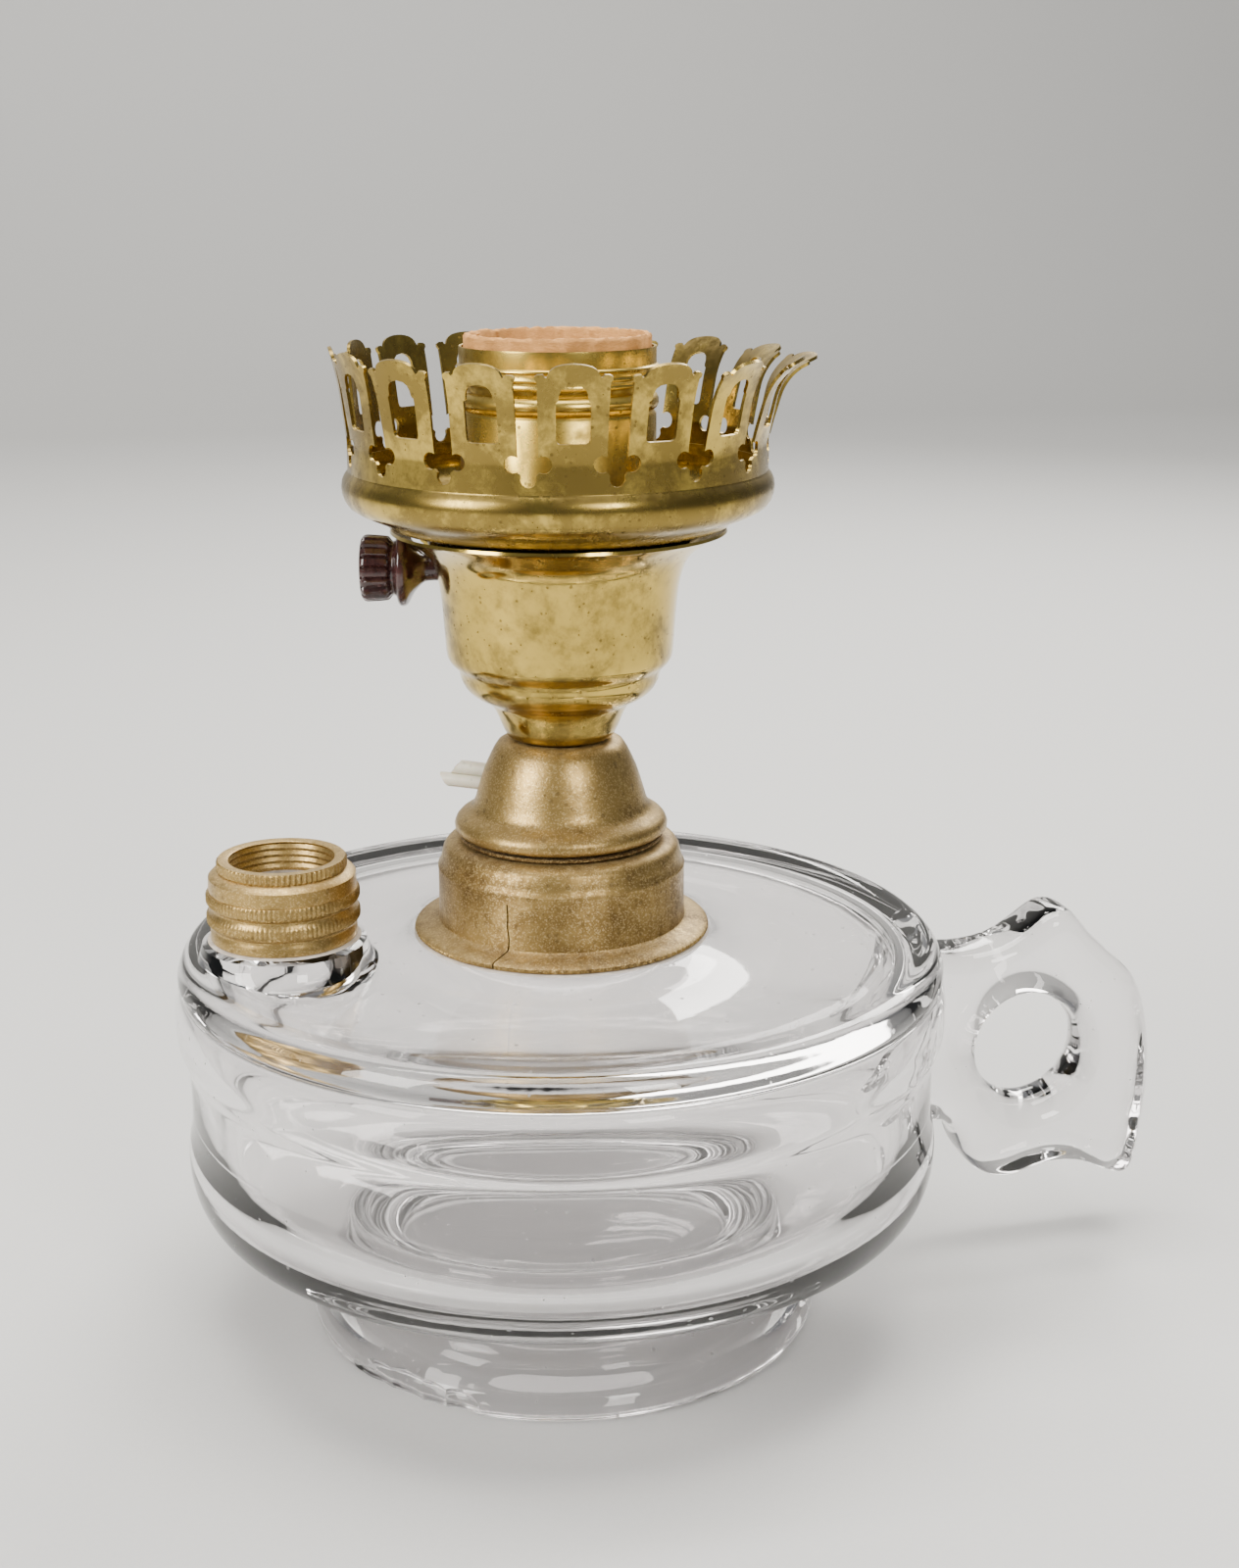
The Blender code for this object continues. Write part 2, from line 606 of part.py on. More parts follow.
def make_cap_liner(coll, axis):
    r = CAP_R - SHEET - GAP
    rise = SHELL_BOTTOM
    line = [(r, rise - GAP), (r, rise - 2.2), (r - 0.8, rise - 4.4), (r - 3.2, rise - 7.0)]
    line += [(CAP_NECK_R + 3.4, 10.2)]
    turned("cap_liner", shell(line, SHEET), coll, fibre("liner_fibre"), axis, HUSK_BASE)


def stem_notch(name, bottom, coll, axis):
    """Cutter that opens a sleeve from its lower edge up round the switch shaft."""
    top = KNOB_Z + SHAFT_R + 0.6
    middle = (SHELL_R, 0, HUSK_BASE + (bottom - 2 + top) / 2)
    notch = block(name, (8, 2 * (SHAFT_R + 0.6), top - bottom + 2), middle, coll, axis)
    notch.rotation_euler.z = radians(KNOB_AZ)
    return notch


def make_socket_shell(coll, cutters, axis):
    r = SHELL_R
    top = SHELL_TOP
    line = [(r, top), (r, top - 3.0), (r + 0.4, top - 3.5), (r - 0.1, top - 6.8), (r + 0.35, top - 8.0)]
    line += [(r + 0.35, top - 10.4), (r, top - 11.5), (r, SHELL_BOTTOM)]
    tube = turned("socket_shell", shell(line, SHELL_SHEET), coll, brass("socket_brass"), axis, HUSK_BASE)
    cut(tube, stem_notch("shell_notch", SHELL_BOTTOM, cutters, axis))


def make_insulator(coll, cutters, axis):
    outer = SHELL_R - SHELL_SHEET - GAP - 0.1
    inner = outer - INSULATOR_WALL
    top = SHELL_TOP + INSULATOR_PROUD
    ring = [(outer, top), (outer, INSULATOR_BOTTOM), (inner, INSULATOR_BOTTOM), (inner, top)]
    sleeve = turned("shell_insulator", ring, coll, fibre("insulator_fibre"), axis, HUSK_BASE)
    cut(sleeve, stem_notch("insulator_notch", INSULATOR_BOTTOM, cutters, axis))


def make_socket_body(coll, cutters, axis):
    r = BODY_R
    block_line = [(0, BODY_TOP), (r - 0.6, BODY_TOP), (r, BODY_TOP - 0.6), (r, BODY_BOTTOM + 0.6)]
    block_line += [(r - 0.6, BODY_BOTTOM), (0, BODY_BOTTOM)]
    body = turned("socket_body", block_line, coll, bakelite("body_bakelite"), axis, HUSK_BASE, closed=False)
    bore = [(0, r + 4), (ROTOR_R + GAP, r + 4), (ROTOR_R + GAP, -6.0), (0, -6.0)]
    bit = turned("rotor_bore", bore, cutters, None, axis, closed=False, steps=20)
    bit.location = (0, 0, (HUSK_BASE + KNOB_Z) * MM)
    bit.rotation_euler = (0, radians(90), radians(KNOB_AZ))
    cut(body, bit)
    for side in (-1, 1):
        height = 2 * TERMINAL_HEAD_R + 4
        middle = (TERMINAL_R + 4, 0, HUSK_BASE + TERMINAL_Z + TERMINAL_HEAD_R + 1 - height / 2)
        flat = block(f"terminal_flat_{side}", (8, 20, height), middle, cutters, axis)
        flat.rotation_euler.z = radians(KNOB_AZ + 90 * side)
        cut(body, flat)
        hole = [(0, TERMINAL_R + 3), (1.9, TERMINAL_R + 3), (1.9, TERMINAL_R - 3.8), (0, TERMINAL_R - 3.8)]
        drill = turned(f"terminal_hole_{side}", hole, cutters, None, axis, closed=False, steps=10)
        drill.location = (0, 0, (HUSK_BASE + TERMINAL_Z) * MM)
        drill.rotation_euler = (0, radians(90), radians(KNOB_AZ + 90 * side))
        cut(body, drill)


def make_terminal_screw(name, side, mat, coll, axis):
    under = TERMINAL_R + 1.8
    pin = [(0, under + 1.3), (TERMINAL_HEAD_R - 0.5, under + 1.3), (TERMINAL_HEAD_R, under + 0.8)]
    pin += [(TERMINAL_HEAD_R, under), (1.6, under), (1.6, TERMINAL_R - 3.4), (0, TERMINAL_R - 3.4)]
    screw = turned(name, pin, coll, mat, axis, closed=False, steps=12)
    screw.location = (0, 0, (HUSK_BASE + TERMINAL_Z) * MM)
    screw.rotation_euler = (0, radians(90), radians(KNOB_AZ + 90 * side))


def make_wire(name, side, mat, coll, axis):
    """Lead from the split cord up to its terminal; x is the way out to the terminal."""
    grip = TERMINAL_R + 0.9
    route = [(1.3, 0, 14.2), (2.4, 0.4, 15.0), (6.0, 1.4, 16.0), (10.5, 2.4, 16.5), (grip - 0.1, 2.6, 17.2)]
    route += [(grip, 2.6, 18.9), (grip, 2.6, TERMINAL_Z + 1.4)]
    lead = wire_tube(name, route, 0.6, coll, mat, axis, every=1.6)
    lead.location = (0, 0, HUSK_BASE * MM)
    lead.rotation_euler.z = radians(KNOB_AZ + 90 * side)


def make_screw_shell(coll, axis):
    r = SCREW_SHELL_R
    wall = SCREW_SHELL_WALL
    top = SCREW_SHELL_H
    line = [(r, top), (r, 0), (CONTACT_R + 2.8, 0), (CONTACT_R + 2.8, wall)]
    line += [(r - wall, wall), (r - wall, top)]
    turned("screw_shell", line, coll, copper("screw_shell_copper"), axis, HUSK_BASE + BODY_TOP + GAP)


def make_center_contact(coll, axis):
    r = CONTACT_R
    button = [(0, 3.9), (r - 0.8, 3.7), (r, 3.0), (r, 0), (0, 0)]
    base = HUSK_BASE + BODY_TOP + GAP
    turned("center_contact", button, coll, brass("contact_brass"), axis, base, closed=False, steps=16)


# ---------------------------------------------------------------- knob and switch

def make_knob(coll, cutters, knob):
    tip = KNOB_INNER + KNOB_LEN
    r = KNOB_R
    line = [(0, tip - 0.8), (r - 1.4, tip - 0.3), (r - 0.5, tip), (r, tip - 0.7), (r - 0.25, tip - 4.8)]
    line += [(r - 1.6, tip - 5.6), (r + 0.85, tip - 6.6), (r + 0.85, tip - 7.8), (r + 0.3, tip - 8.3)]
    line += [(STEM_R + 1.9, tip - 9.4), (STEM_R, tip - 10.8), (STEM_R, KNOB_INNER)]
    line += [(SHAFT_R + GAP, KNOB_INNER)]
    line += [(SHAFT_R + GAP, tip - 6.6), (0, tip - 6.6)]
    body = turned("turn_knob", line, coll, bakelite("knob_bakelite"), knob, closed=False)
    mesh = bpy.data.meshes.new("knob_grooves")
    bm = bmesh.new()
    for i in range(KNOB_RIBS):
        size = 0.5 * MM
        made = bmesh.ops.create_cone(bm, cap_ends=True, segments=6, radius1=size, radius2=size, depth=5.6 * MM)
        turn = 2 * pi * i / KNOB_RIBS
        place = ((r + 0.12) * cos(turn) * MM, (r + 0.12) * sin(turn) * MM, (tip - 2.0) * MM)
        bmesh.ops.translate(bm, vec=place, verts=made["verts"])
    bm.to_mesh(mesh)
    bm.free()
    cut(body, link("knob_grooves", mesh, cutters, None, knob))


def make_switch(coll, knob):
    tip = KNOB_INNER + KNOB_LEN
    rod = [(0, tip - 7.2), (SHAFT_R - 0.3, tip - 7.2), (SHAFT_R, tip - 7.6)]
    rod += [(SHAFT_R, SHAFT_TIP + GAP), (0, SHAFT_TIP + GAP)]
    turned("switch_shaft", rod, coll, steel("shaft_steel"), knob, closed=False, steps=16)
    drum = [(0, SHAFT_TIP), (ROTOR_R, SHAFT_TIP), (ROTOR_R, -5.5), (0, -5.5)]
    turned("switch_rotor", drum, coll, fibre("rotor_fibre"), knob, closed=False, steps=20)


# ---------------------------------------------------------------- chimney gallery

def gallery_section():
    """Closed section of the gallery: floor, bead, upright band and flaring prongs."""
    hole = SHELL_R + 4.0
    seat = HUSK_R + HUSK_FLANGE + 0.5
    bead = HUSK_R + HUSK_FLANGE + GALLERY_OUT
    crest = bead - 1.2
    top = GALLERY_H
    outer = [(crest + FLARE, top), (crest + FLARE * 0.55, top - 7.0), (crest + 0.3, top - 14.5), (crest, 9.7)]
    outer += arc(bead - 2.6, 7.6, 2.6, 40, -60, 4)
    outer += [(seat + 3.5, 2.6), (seat, SHEET), (seat - 0.6, 0), (hole + 2.0, 0), (hole + 2.0, -3.0)]
    return shell(outer, SHEET)


def crown_cutter(name, ring, coll, axis, azimuth, reach):
    """One cutter for every prong: a flat outline (x along the band, y up) pushed through the crown's wall."""
    plate = solid_of(outline(name + "_plate", [ring], 8.0, coll))
    stand = Matrix.Translation((reach * MM, 0, 0)) @ Euler((radians(90), 0, radians(90))).to_matrix().to_4x4()
    bm = bmesh.new()
    for i in range(PRONGS):
        first = len(bm.verts)
        bm.from_mesh(plate.data)
        bm.verts.ensure_lookup_table()
        turn = Matrix.Rotation(radians(azimuth + i * 360 / PRONGS), 4, "Z")
        bmesh.ops.transform(bm, matrix=turn @ stand, verts=bm.verts[first:])
    mesh = bpy.data.meshes.new(name)
    bm.to_mesh(mesh)
    bm.free()
    bpy.data.objects.remove(plate, do_unlink=True)
    cutter = link(name, mesh, coll, None, axis)
    cutter.location.z = GALLERY_BASE * MM
    return cutter


def slot_outline():
    """Slot between two prongs: open above, with shoulders beside the arched heads and a clover foot."""
    s = SLOT_HALF
    c = CLOVER_R
    top = GALLERY_H
    shoulder = 3.6
    foot = 13.4
    side = [(shoulder, top + 3.0), (shoulder, top - 0.7), (shoulder - 0.4, top - 1.7)]
    side += [(s, top - 2.1), (s, foot + c)]
    lobe = [(c + c * cos(a), foot + c * 0.62 * sin(a)) for a in [radians(d) for d in (70, 15, -40)]]
    tip = [(c * 0.8, foot - c), (c * 0.55, foot - 2.0 * c)]
    half = side + lobe + tip
    return half + [(-x, y) for x, y in half[::-1]]


def window_outline():
    w = WINDOW_HALF
    top = GALLERY_H - 3.4
    head = [(w * 0.5 * cos(a), top - 1.2 + 1.2 * sin(a)) for a in [radians(d) for d in (0, 45, 90, 135, 180)]]
    return [(w, top - WINDOW_H), (w, top - 1.9)] + head + [(-w, top - 1.9), (-w, top - WINDOW_H)]


def make_gallery(coll, cutters, axis):
    ring = turned("chimney_gallery", gallery_section(), coll, brass("gallery_brass"), axis, GALLERY_BASE,
                  steps=2 * PRONGS)
    reach = HUSK_R + HUSK_FLANGE + GALLERY_OUT
    cut(ring, crown_cutter("crown_slots", slot_outline(), cutters, axis, PRONG_PHASE, reach))
    phase = PRONG_PHASE + 180 / PRONGS
    cut(ring, crown_cutter("crown_windows", window_outline(), cutters, axis, phase, reach))


def make_cord(coll, axis):
    tube = wire_tube("lamp_cord", CORD_ROUTE, CORD_R, coll, vinyl("cord_vinyl"), axis, every=0.6)
    tube.location = (0, 0, DOME_BASE * MM)
    tube.rotation_euler.z = radians(CORD_AZ)


def main():
    clear_scene()
    coll = new_collection("oil_lamp")
    cutters = new_collection("cutters")
    axis = empty("lamp_axis", AXIS_X, 0, 0)
    bpy.context.view_layer.update()
    make_font(coll, cutters, axis)
    make_handle(coll, cutters, axis)
    make_burner_collar(coll, axis)
    make_collar_plaster(coll, axis)
    make_filler_collar(coll, axis)
    make_filler_plaster(coll, axis)
    make_thread_ring(coll, axis)
    make_dome(coll, cutters, axis)
    make_nipple(coll, axis)
    make_locknut(coll, axis)
    make_husk(coll, cutters, axis)
    make_cap(coll, cutters, axis)
    make_set_screw(coll, axis)
    make_cap_liner(coll, axis)
    make_socket_shell(coll, cutters, axis)
    make_insulator(coll, cutters, axis)
    make_socket_body(coll, cutters, axis)
    make_terminal_screw("terminal_screw_hot", 1, brass("hot_screw_brass"), coll, axis)
    make_terminal_screw("terminal_screw_neutral", -1, steel("neutral_screw_nickel"), coll, axis)
    make_wire("wire_hot", 1, copper("hot_wire_copper"), coll, axis)
    make_wire("wire_neutral", -1, copper("neutral_wire_copper"), coll, axis)
    make_screw_shell(coll, axis)
    make_center_contact(coll, axis)
    knob = empty("knob_axis", 0, 0, HUSK_BASE + KNOB_Z, (0, 90, KNOB_AZ), axis)
    make_knob(coll, cutters, knob)
    make_switch(coll, knob)
    make_gallery(coll, cutters, axis)
    make_cord(coll, axis)
    bpy.context.view_layer.update()


main()
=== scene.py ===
"""Finger Lamp Workshop: shapes and finishes for an old glass finger lamp with a brass socket fitting.

Every operator makes one piece, or one group of like pieces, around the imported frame.  Profiles are written
in millimetres, as radius from the piece's axis and height above its own seat.  Other lengths are metres.
"""
import json
import random
from math import atan2, cos, hypot, pi, radians, sin

import bmesh
import bpy
from bpy.props import FloatProperty, FloatVectorProperty, IntProperty, PointerProperty
from mathutils import Matrix, Vector


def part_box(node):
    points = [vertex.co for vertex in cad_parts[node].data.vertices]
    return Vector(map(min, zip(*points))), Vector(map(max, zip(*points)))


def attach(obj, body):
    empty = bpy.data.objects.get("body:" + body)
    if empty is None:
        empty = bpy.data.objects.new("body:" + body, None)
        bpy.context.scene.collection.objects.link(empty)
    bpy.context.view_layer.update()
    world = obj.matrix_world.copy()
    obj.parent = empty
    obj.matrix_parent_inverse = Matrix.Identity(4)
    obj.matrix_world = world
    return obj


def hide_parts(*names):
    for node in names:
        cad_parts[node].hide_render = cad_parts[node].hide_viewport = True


bl_info = {
    "name": "Finger Lamp Workshop",
    "version": (1, 0, 0),
    "blender": (4, 5, 0),
    "location": "3D View > Sidebar > Finger Lamp",
    "description": "Builds a pressed-glass finger lamp with its brass socket fitting piece by piece",
    "category": "Object",
}

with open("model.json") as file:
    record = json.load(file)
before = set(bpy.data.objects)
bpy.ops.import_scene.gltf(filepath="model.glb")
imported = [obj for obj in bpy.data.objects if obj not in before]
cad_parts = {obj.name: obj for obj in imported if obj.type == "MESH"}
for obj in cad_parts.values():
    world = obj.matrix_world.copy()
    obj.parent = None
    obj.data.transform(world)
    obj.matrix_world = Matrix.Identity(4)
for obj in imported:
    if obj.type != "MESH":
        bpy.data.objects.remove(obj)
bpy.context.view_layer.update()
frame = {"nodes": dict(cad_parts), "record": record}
MM = 0.001
DOUBLES = 0.000002
JOINTS = {joint["name"]: joint for joint in frame["record"]["behaviour"]["joints"]}
AXIS_X = JOINTS["adapter_turn"]["pos_m"][0]
KNOB_AXIS = Vector(JOINTS["knob_turn"]["axis"])
KNOB_AT = Vector(JOINTS["knob_turn"]["pos_m"])
KNOB_OUT = Vector((KNOB_AXIS.x, KNOB_AXIS.y, 0))
CORD_AZ = radians(146.0)
COPPER = (0.72, 0.36, 0.20)


def foot_of(node):
    """Height in metres of a node's lowest point."""
    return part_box(node)[0][2]


def head_of(node):
    """Height in metres of a node's highest point."""
    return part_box(node)[1][2]


NECK_RISE = 0.014
RIM_Z = head_of("glass_font") - NECK_RISE
COLLAR_Z = foot_of("burner_collar")
DOME_Z = foot_of("adapter_dome")
HUSK_Z = foot_of("burner_husk")
GALLERY_SKIRT = 0.003
GALLERY_Z = foot_of("chimney_gallery") + GALLERY_SKIRT
FILLER_LOW, FILLER_HIGH = (Vector(corner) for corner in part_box("filler_collar"))
FILLER_X = (FILLER_LOW.x + FILLER_HIGH.x) / 2


# ------------------------------------------------------------------------------------------ settings

class FingerLampGlassSettings(bpy.types.PropertyGroup):
    """Shape and colour of the glass"""
    tint: FloatVectorProperty(
        name="Tint", description="Colour that the thick glass gives to what is behind it",
        subtype="COLOR", default=(0.945, 0.93, 0.935), min=0.0, max=1.0)
    steps: IntProperty(
        name="Steps", description="Divisions of the glass round the lamp's axis", default=72, min=24, max=192)
    chip_depth: FloatProperty(
        name="Chip Depth", description="How far the flake at the foot bites in", subtype="DISTANCE",
        default=0.0024, min=0.0, max=0.004)


class FingerLampMetalSettings(bpy.types.PropertyGroup):
    """Colours of the metal parts"""
    brass: FloatVectorProperty(
        name="Brass", description="Clean polished brass", subtype="COLOR", default=(0.60, 0.43, 0.095))
    tarnish: FloatVectorProperty(
        name="Tarnish", description="Brass where it has gone dull and brown", subtype="COLOR",
        default=(0.10, 0.065, 0.02))
    gold: FloatVectorProperty(
        name="Gold Paint", description="Bronze paint on the collars and the dome", subtype="COLOR",
        default=(0.39, 0.26, 0.085))
    # This dark colour is also laid over most of the threaded skirt, as painted shade in the gap under the
    # dome.
    gold_worn_and_shade: FloatVectorProperty(
        name="Worn Paint", description="The same paint where it is rubbed and dirty", subtype="COLOR",
        default=(0.13, 0.075, 0.025))
    prongs: IntProperty(
        name="Prongs", description="Prongs round the chimney gallery", default=16, min=6, max=24)
    flare: FloatProperty(
        name="Flare", description="How far the prongs lean out at their tips", subtype="DISTANCE",
        default=0.0030, min=0.0, max=0.006)


class FingerLampTrimSettings(bpy.types.PropertyGroup):
    """Colours of the insulation, the knob and the cord"""
    fibre: FloatVectorProperty(
        name="Fibre", description="Pressed fibre sleeve of the socket", subtype="COLOR",
        default=(0.56, 0.27, 0.08))
    bakelite: FloatVectorProperty(
        name="Bakelite", description="Moulded knob", subtype="COLOR", default=(0.03, 0.009, 0.008))
    vinyl: FloatVectorProperty(
        name="Vinyl", description="Jacket of the twin cord", subtype="COLOR", default=(0.86, 0.82, 0.68))
    cement: FloatVectorProperty(
        name="Cement", description="Plaster that holds the collars", subtype="COLOR",
        default=(0.74, 0.68, 0.60))
    knob_ribs: IntProperty(
        name="Knob Ribs", description="Ribs round the turn knob", default=18, min=8, max=40)


class FingerLampStageSettings(bpy.types.PropertyGroup):
    """Floor, light and camera"""
    floor: FloatVectorProperty(
        name="Floor", description="Colour of the plain floor", subtype="COLOR", default=(0.62, 0.62, 0.61))
    lens: FloatProperty(
        name="Lens", description="Focal length of the camera", subtype="DISTANCE_CAMERA", default=49.5)
    sky: FloatProperty(
        name="Sky", description="Strength of the even light from all round", default=0.22, min=0.0)


def settings(part):
    """The settings of one part: glass, metal, trim or stage."""
    return getattr(bpy.context.scene, "finger_lamp_" + part)


# ------------------------------------------------------------------------------------------ modelling

def deselect():
    if bpy.context.object and bpy.context.object.mode != "OBJECT":
        bpy.ops.object.mode_set(mode="OBJECT")
    bpy.ops.object.select_all(action="DESELECT")


def pick(*objs):
    deselect()
    for obj in objs:
        obj.select_set(True)
    bpy.context.view_layer.objects.active = objs[-1]
    return objs[-1]


def named(name):
    obj = bpy.context.object
    obj.name = name
    obj.data.name = name
    return obj


def settle(obj, matrix=None):
    """Move the object, then put its place, turn and size into its mesh."""
    if matrix:
        obj.matrix_world = matrix
    pick(obj)
    bpy.ops.object.transform_apply(location=True, rotation=True, scale=True)
    return obj


def edit(obj):
    """Open a piece in edit mode with all of it selected."""
    pick(obj)
    bpy.ops.object.mode_set(mode="EDIT")
    bpy.ops.mesh.select_all(action="SELECT")


def leave():
    bpy.ops.object.mode_set(mode="OBJECT")


def mend(obj, threshold=DOUBLES):
    """Merge doubles and turn the faces outwards."""
    edit(obj)
    bpy.ops.mesh.remove_doubles(threshold=threshold)
    bpy.ops.mesh.normals_make_consistent(inside=False)
    leave()
    return obj


def choose(obj, test):
    """Select the points that pass a test, in edit mode."""
    bm = bmesh.from_edit_mesh(obj.data)
    for vert in bm.verts:
        vert.select = test(vert.co)
    bm.select_flush_mode()
    bmesh.update_edit_mesh(obj.data)


def grow_tip(obj, place, moves):
    """Extrude the furthest end of a piece, one move after another, in edit mode."""
    for move in moves:
        far = max(place(vert.co) for vert in bmesh.from_edit_mesh(obj.data).verts)
        choose(obj, lambda co: place(co) > far - 0.00001)
        bpy.ops.mesh.extrude_region_move(TRANSFORM_OT_translate={"value": move})


def cube(name, size):
    """Box about the origin."""
    deselect()
    bpy.ops.mesh.primitive_cube_add(size=1, location=(0, 0, 0))
    obj = named(name)
    obj.scale = size
    return settle(obj)


def rod(name, vertices, radius, depth):
    """Round bar on the Z axis about the origin."""
    deselect()
    bpy.ops.mesh.primitive_cylinder_add(vertices=vertices, radius=radius, depth=depth, location=(0, 0, 0))
    return named(name)


def finish_with(obj, kind, **values):
    """Add one modifier and apply it."""
    pick(obj)
    mod = obj.modifiers.new(kind.title(), kind)
    for key, value in values.items():
        setattr(mod, key, value)
    bpy.ops.object.modifier_apply(modifier=mod.name)
    return obj


def subdivide(obj, levels):
    return finish_with(obj, "SUBSURF", levels=levels, render_levels=levels)


def smooth(obj, angle=40):
    pick(obj)
    bpy.ops.object.shade_smooth_by_angle(angle=radians(angle))
    return obj


def arc(cr, cz, radius, start, end, count):
    """Points of an arc in the profile plane, degrees from outwards towards up."""
    turns = [radians(start + (end - start) * i / (count - 1)) for i in range(count)]
    return [(cr + radius * cos(a), cz + radius * sin(a)) for a in turns]


def lathe(name, profile, base, steps=96, closed=True, x=None, angle=40):
    """Draw a profile by extruding one vertex along it, then spin it round a vertical axis."""
    center = AXIS_X if x is None else x
    deselect()
    bpy.ops.mesh.primitive_plane_add(size=MM, location=(0, 0, 0))
    obj = named(name)
    bpy.ops.object.mode_set(mode="EDIT")
    bpy.ops.mesh.merge(type="CENTER")
    first = Vector((center + profile[0][0] * MM, 0, base + profile[0][1] * MM))
    bpy.ops.transform.translate(value=first)
    here = profile[0]
    for point in profile[1:]:
        step = ((point[0] - here[0]) * MM, 0, (point[1] - here[1]) * MM)
        bpy.ops.mesh.extrude_vertices_move(TRANSFORM_OT_translate={"value": step})
        here = point
    if closed:
        bm = bmesh.from_edit_mesh(obj.data)
        bm.verts.ensure_lookup_table()
        for vert in bm.verts:
            vert.select = vert.index in (0, len(bm.verts) - 1)
        bm.select_flush_mode()
        bmesh.update_edit_mesh(obj.data)
        bpy.ops.mesh.edge_face_add()
    bpy.ops.mesh.select_all(action="SELECT")
    bpy.ops.mesh.spin(steps=steps, angle=2 * pi, center=(center, 0, 0), axis=(0, 0, 1), use_auto_merge=True)
    return smooth(mend(obj), angle)


def raised(top, points):
    """Profile points whose heights are given from a top edge."""
    return [(r, top + h) for r, h in points]


def sheet(outer, wall):
    """Closed section of a sheet-metal turning: the outer line and the same line moved in by the wall."""
    inner = []
    for i, (r, h) in enumerate(outer):
        r0, h0 = outer[max(i - 1, 0)]
        r1, h1 = outer[min(i + 1, len(outer) - 1)]
        size = hypot(r1 - r0, h1 - h0)
        inner.append((r + wall * (h1 - h0) / size, h - wall * (r1 - r0) / size))
    return outer + inner[::-1]


def rounded(points, sharp=(), rounds=2):
    """Corner-cut a profile a few times so that it flows; points in sharp stay where they are."""
    line = [(p, p in sharp) for p in points]
    for _ in range(rounds):
        out = [line[0]]
        for (a, hard_a), (b, hard_b) in zip(line, line[1:]):
            if not hard_a:
                out.append((tuple(p * 0.75 + q * 0.25 for p, q in zip(a, b)), False))
            if hard_a and (a, True) != out[-1]:
                out.append((a, True))
            if not hard_b:
                out.append((tuple(p * 0.25 + q * 0.75 for p, q in zip(a, b)), False))
            elif (b, True) != out[-1]:
                out.append((b, True))
        if out[-1][0] != line[-1][0]:
            out.append(line[-1])
        line = out
    return [p for p, _ in line]


def squeeze(obj, test, depth, radius, center):
    """Move the points that pass a test in towards a vertical axis."""
    edit(obj)
    choose(obj, test)
    share = 1 - depth / radius
    bpy.ops.transform.resize(value=(share, share, 1), center_override=(center, 0, 0))
    leave()


def flute(obj, teeth, depth, low, high, x=None, only=(0.0, 1.0)):
    """Push every other step of a turned band in towards its axis, as knurling does."""
    center = AXIS_X if x is None else x

    def groove(co):
        turn = atan2(co.y, co.x - center) / (2 * pi) * teeth
        on_band = low <= co.z <= high and only[0] <= hypot(co.x - center, co.y) <= only[1]
        return on_band and abs(turn - round(turn)) > 0.25

    chosen = [hypot(vert.co.x - center, vert.co.y) for vert in obj.data.vertices if groove(vert.co)]
    squeeze(obj, groove, depth, sum(chosen) / len(chosen), center)


def carve(obj, cutter, operation="DIFFERENCE"):
    finish_with(obj, "BOOLEAN", operation=operation, solver="EXACT", object=cutter)
    bpy.data.objects.remove(cutter, do_unlink=True)
    return obj


def joined(name, *objs):
    pick(*objs)
    bpy.ops.object.join()
    return named(name)


def along(obj, origin, direction):
    """Stand a piece that was made on the Z axis on a slanting axis instead, and settle it there."""
    turn = Vector(direction).to_track_quat("Z", "Y").to_matrix().to_4x4()
    return settle(obj, Matrix.Translation(origin) @ turn)


def meshed(name, curve):
    """Make a curve a clean mesh."""
    obj = bpy.data.objects.new(name, curve)
    bpy.context.scene.collection.objects.link(obj)
    pick(obj)
    bpy.ops.object.convert(target="MESH")
    return mend(bpy.context.object)


def knobwards(place):
    """Matrix that puts a piece at a place, turned so that its X points out along the knob."""
    return Matrix.Translation(place) @ Matrix.Rotation(atan2(KNOB_OUT.y, KNOB_OUT.x), 4, "Z")


def flat_plate(name, rings, half, rounding=0.0, resolution=2, handles="AUTO"):
    """Plate of a flat outline in the XY plane, points in millimetres; later rings are holes."""
    curve = bpy.data.curves.new(name, "CURVE")
    curve.dimensions = "2D"
    curve.fill_mode = "BOTH"
    curve.extrude = (half - rounding) * MM
    curve.bevel_depth = rounding * MM
    curve.bevel_resolution = resolution
    curve.offset = -rounding * MM
    curve.resolution_u = 1 if handles == "VECTOR" else 6
    for ring in rings:
        spline = curve.splines.new("BEZIER")
        spline.bezier_points.add(len(ring) - 1)
        for point, place in zip(spline.bezier_points, ring):
            point.co = (place[0] * MM, place[1] * MM, 0)
            point.handle_left_type = point.handle_right_type = "VECTOR" if len(place) > 2 else handles
        spline.use_cyclic_u = True
    return meshed(name, curve)


def dress(obj, mat, body, slot, *nodes):
    """Give a finished piece its material and its body, and hide the CAD nodes that it stands for."""
    obj.data.materials.clear()
    obj.data.materials.append(mat)
    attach(obj, body)
    if nodes:
        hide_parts(*nodes)
    return obj


def recolour(node, mat):
    """A CAD node that is right as it is gets a better finish."""
    obj = frame["nodes"][node]
    obj.data.materials.clear()
    obj.data.materials.append(mat)


# ------------------------------------------------------------------------------------------ shader groups

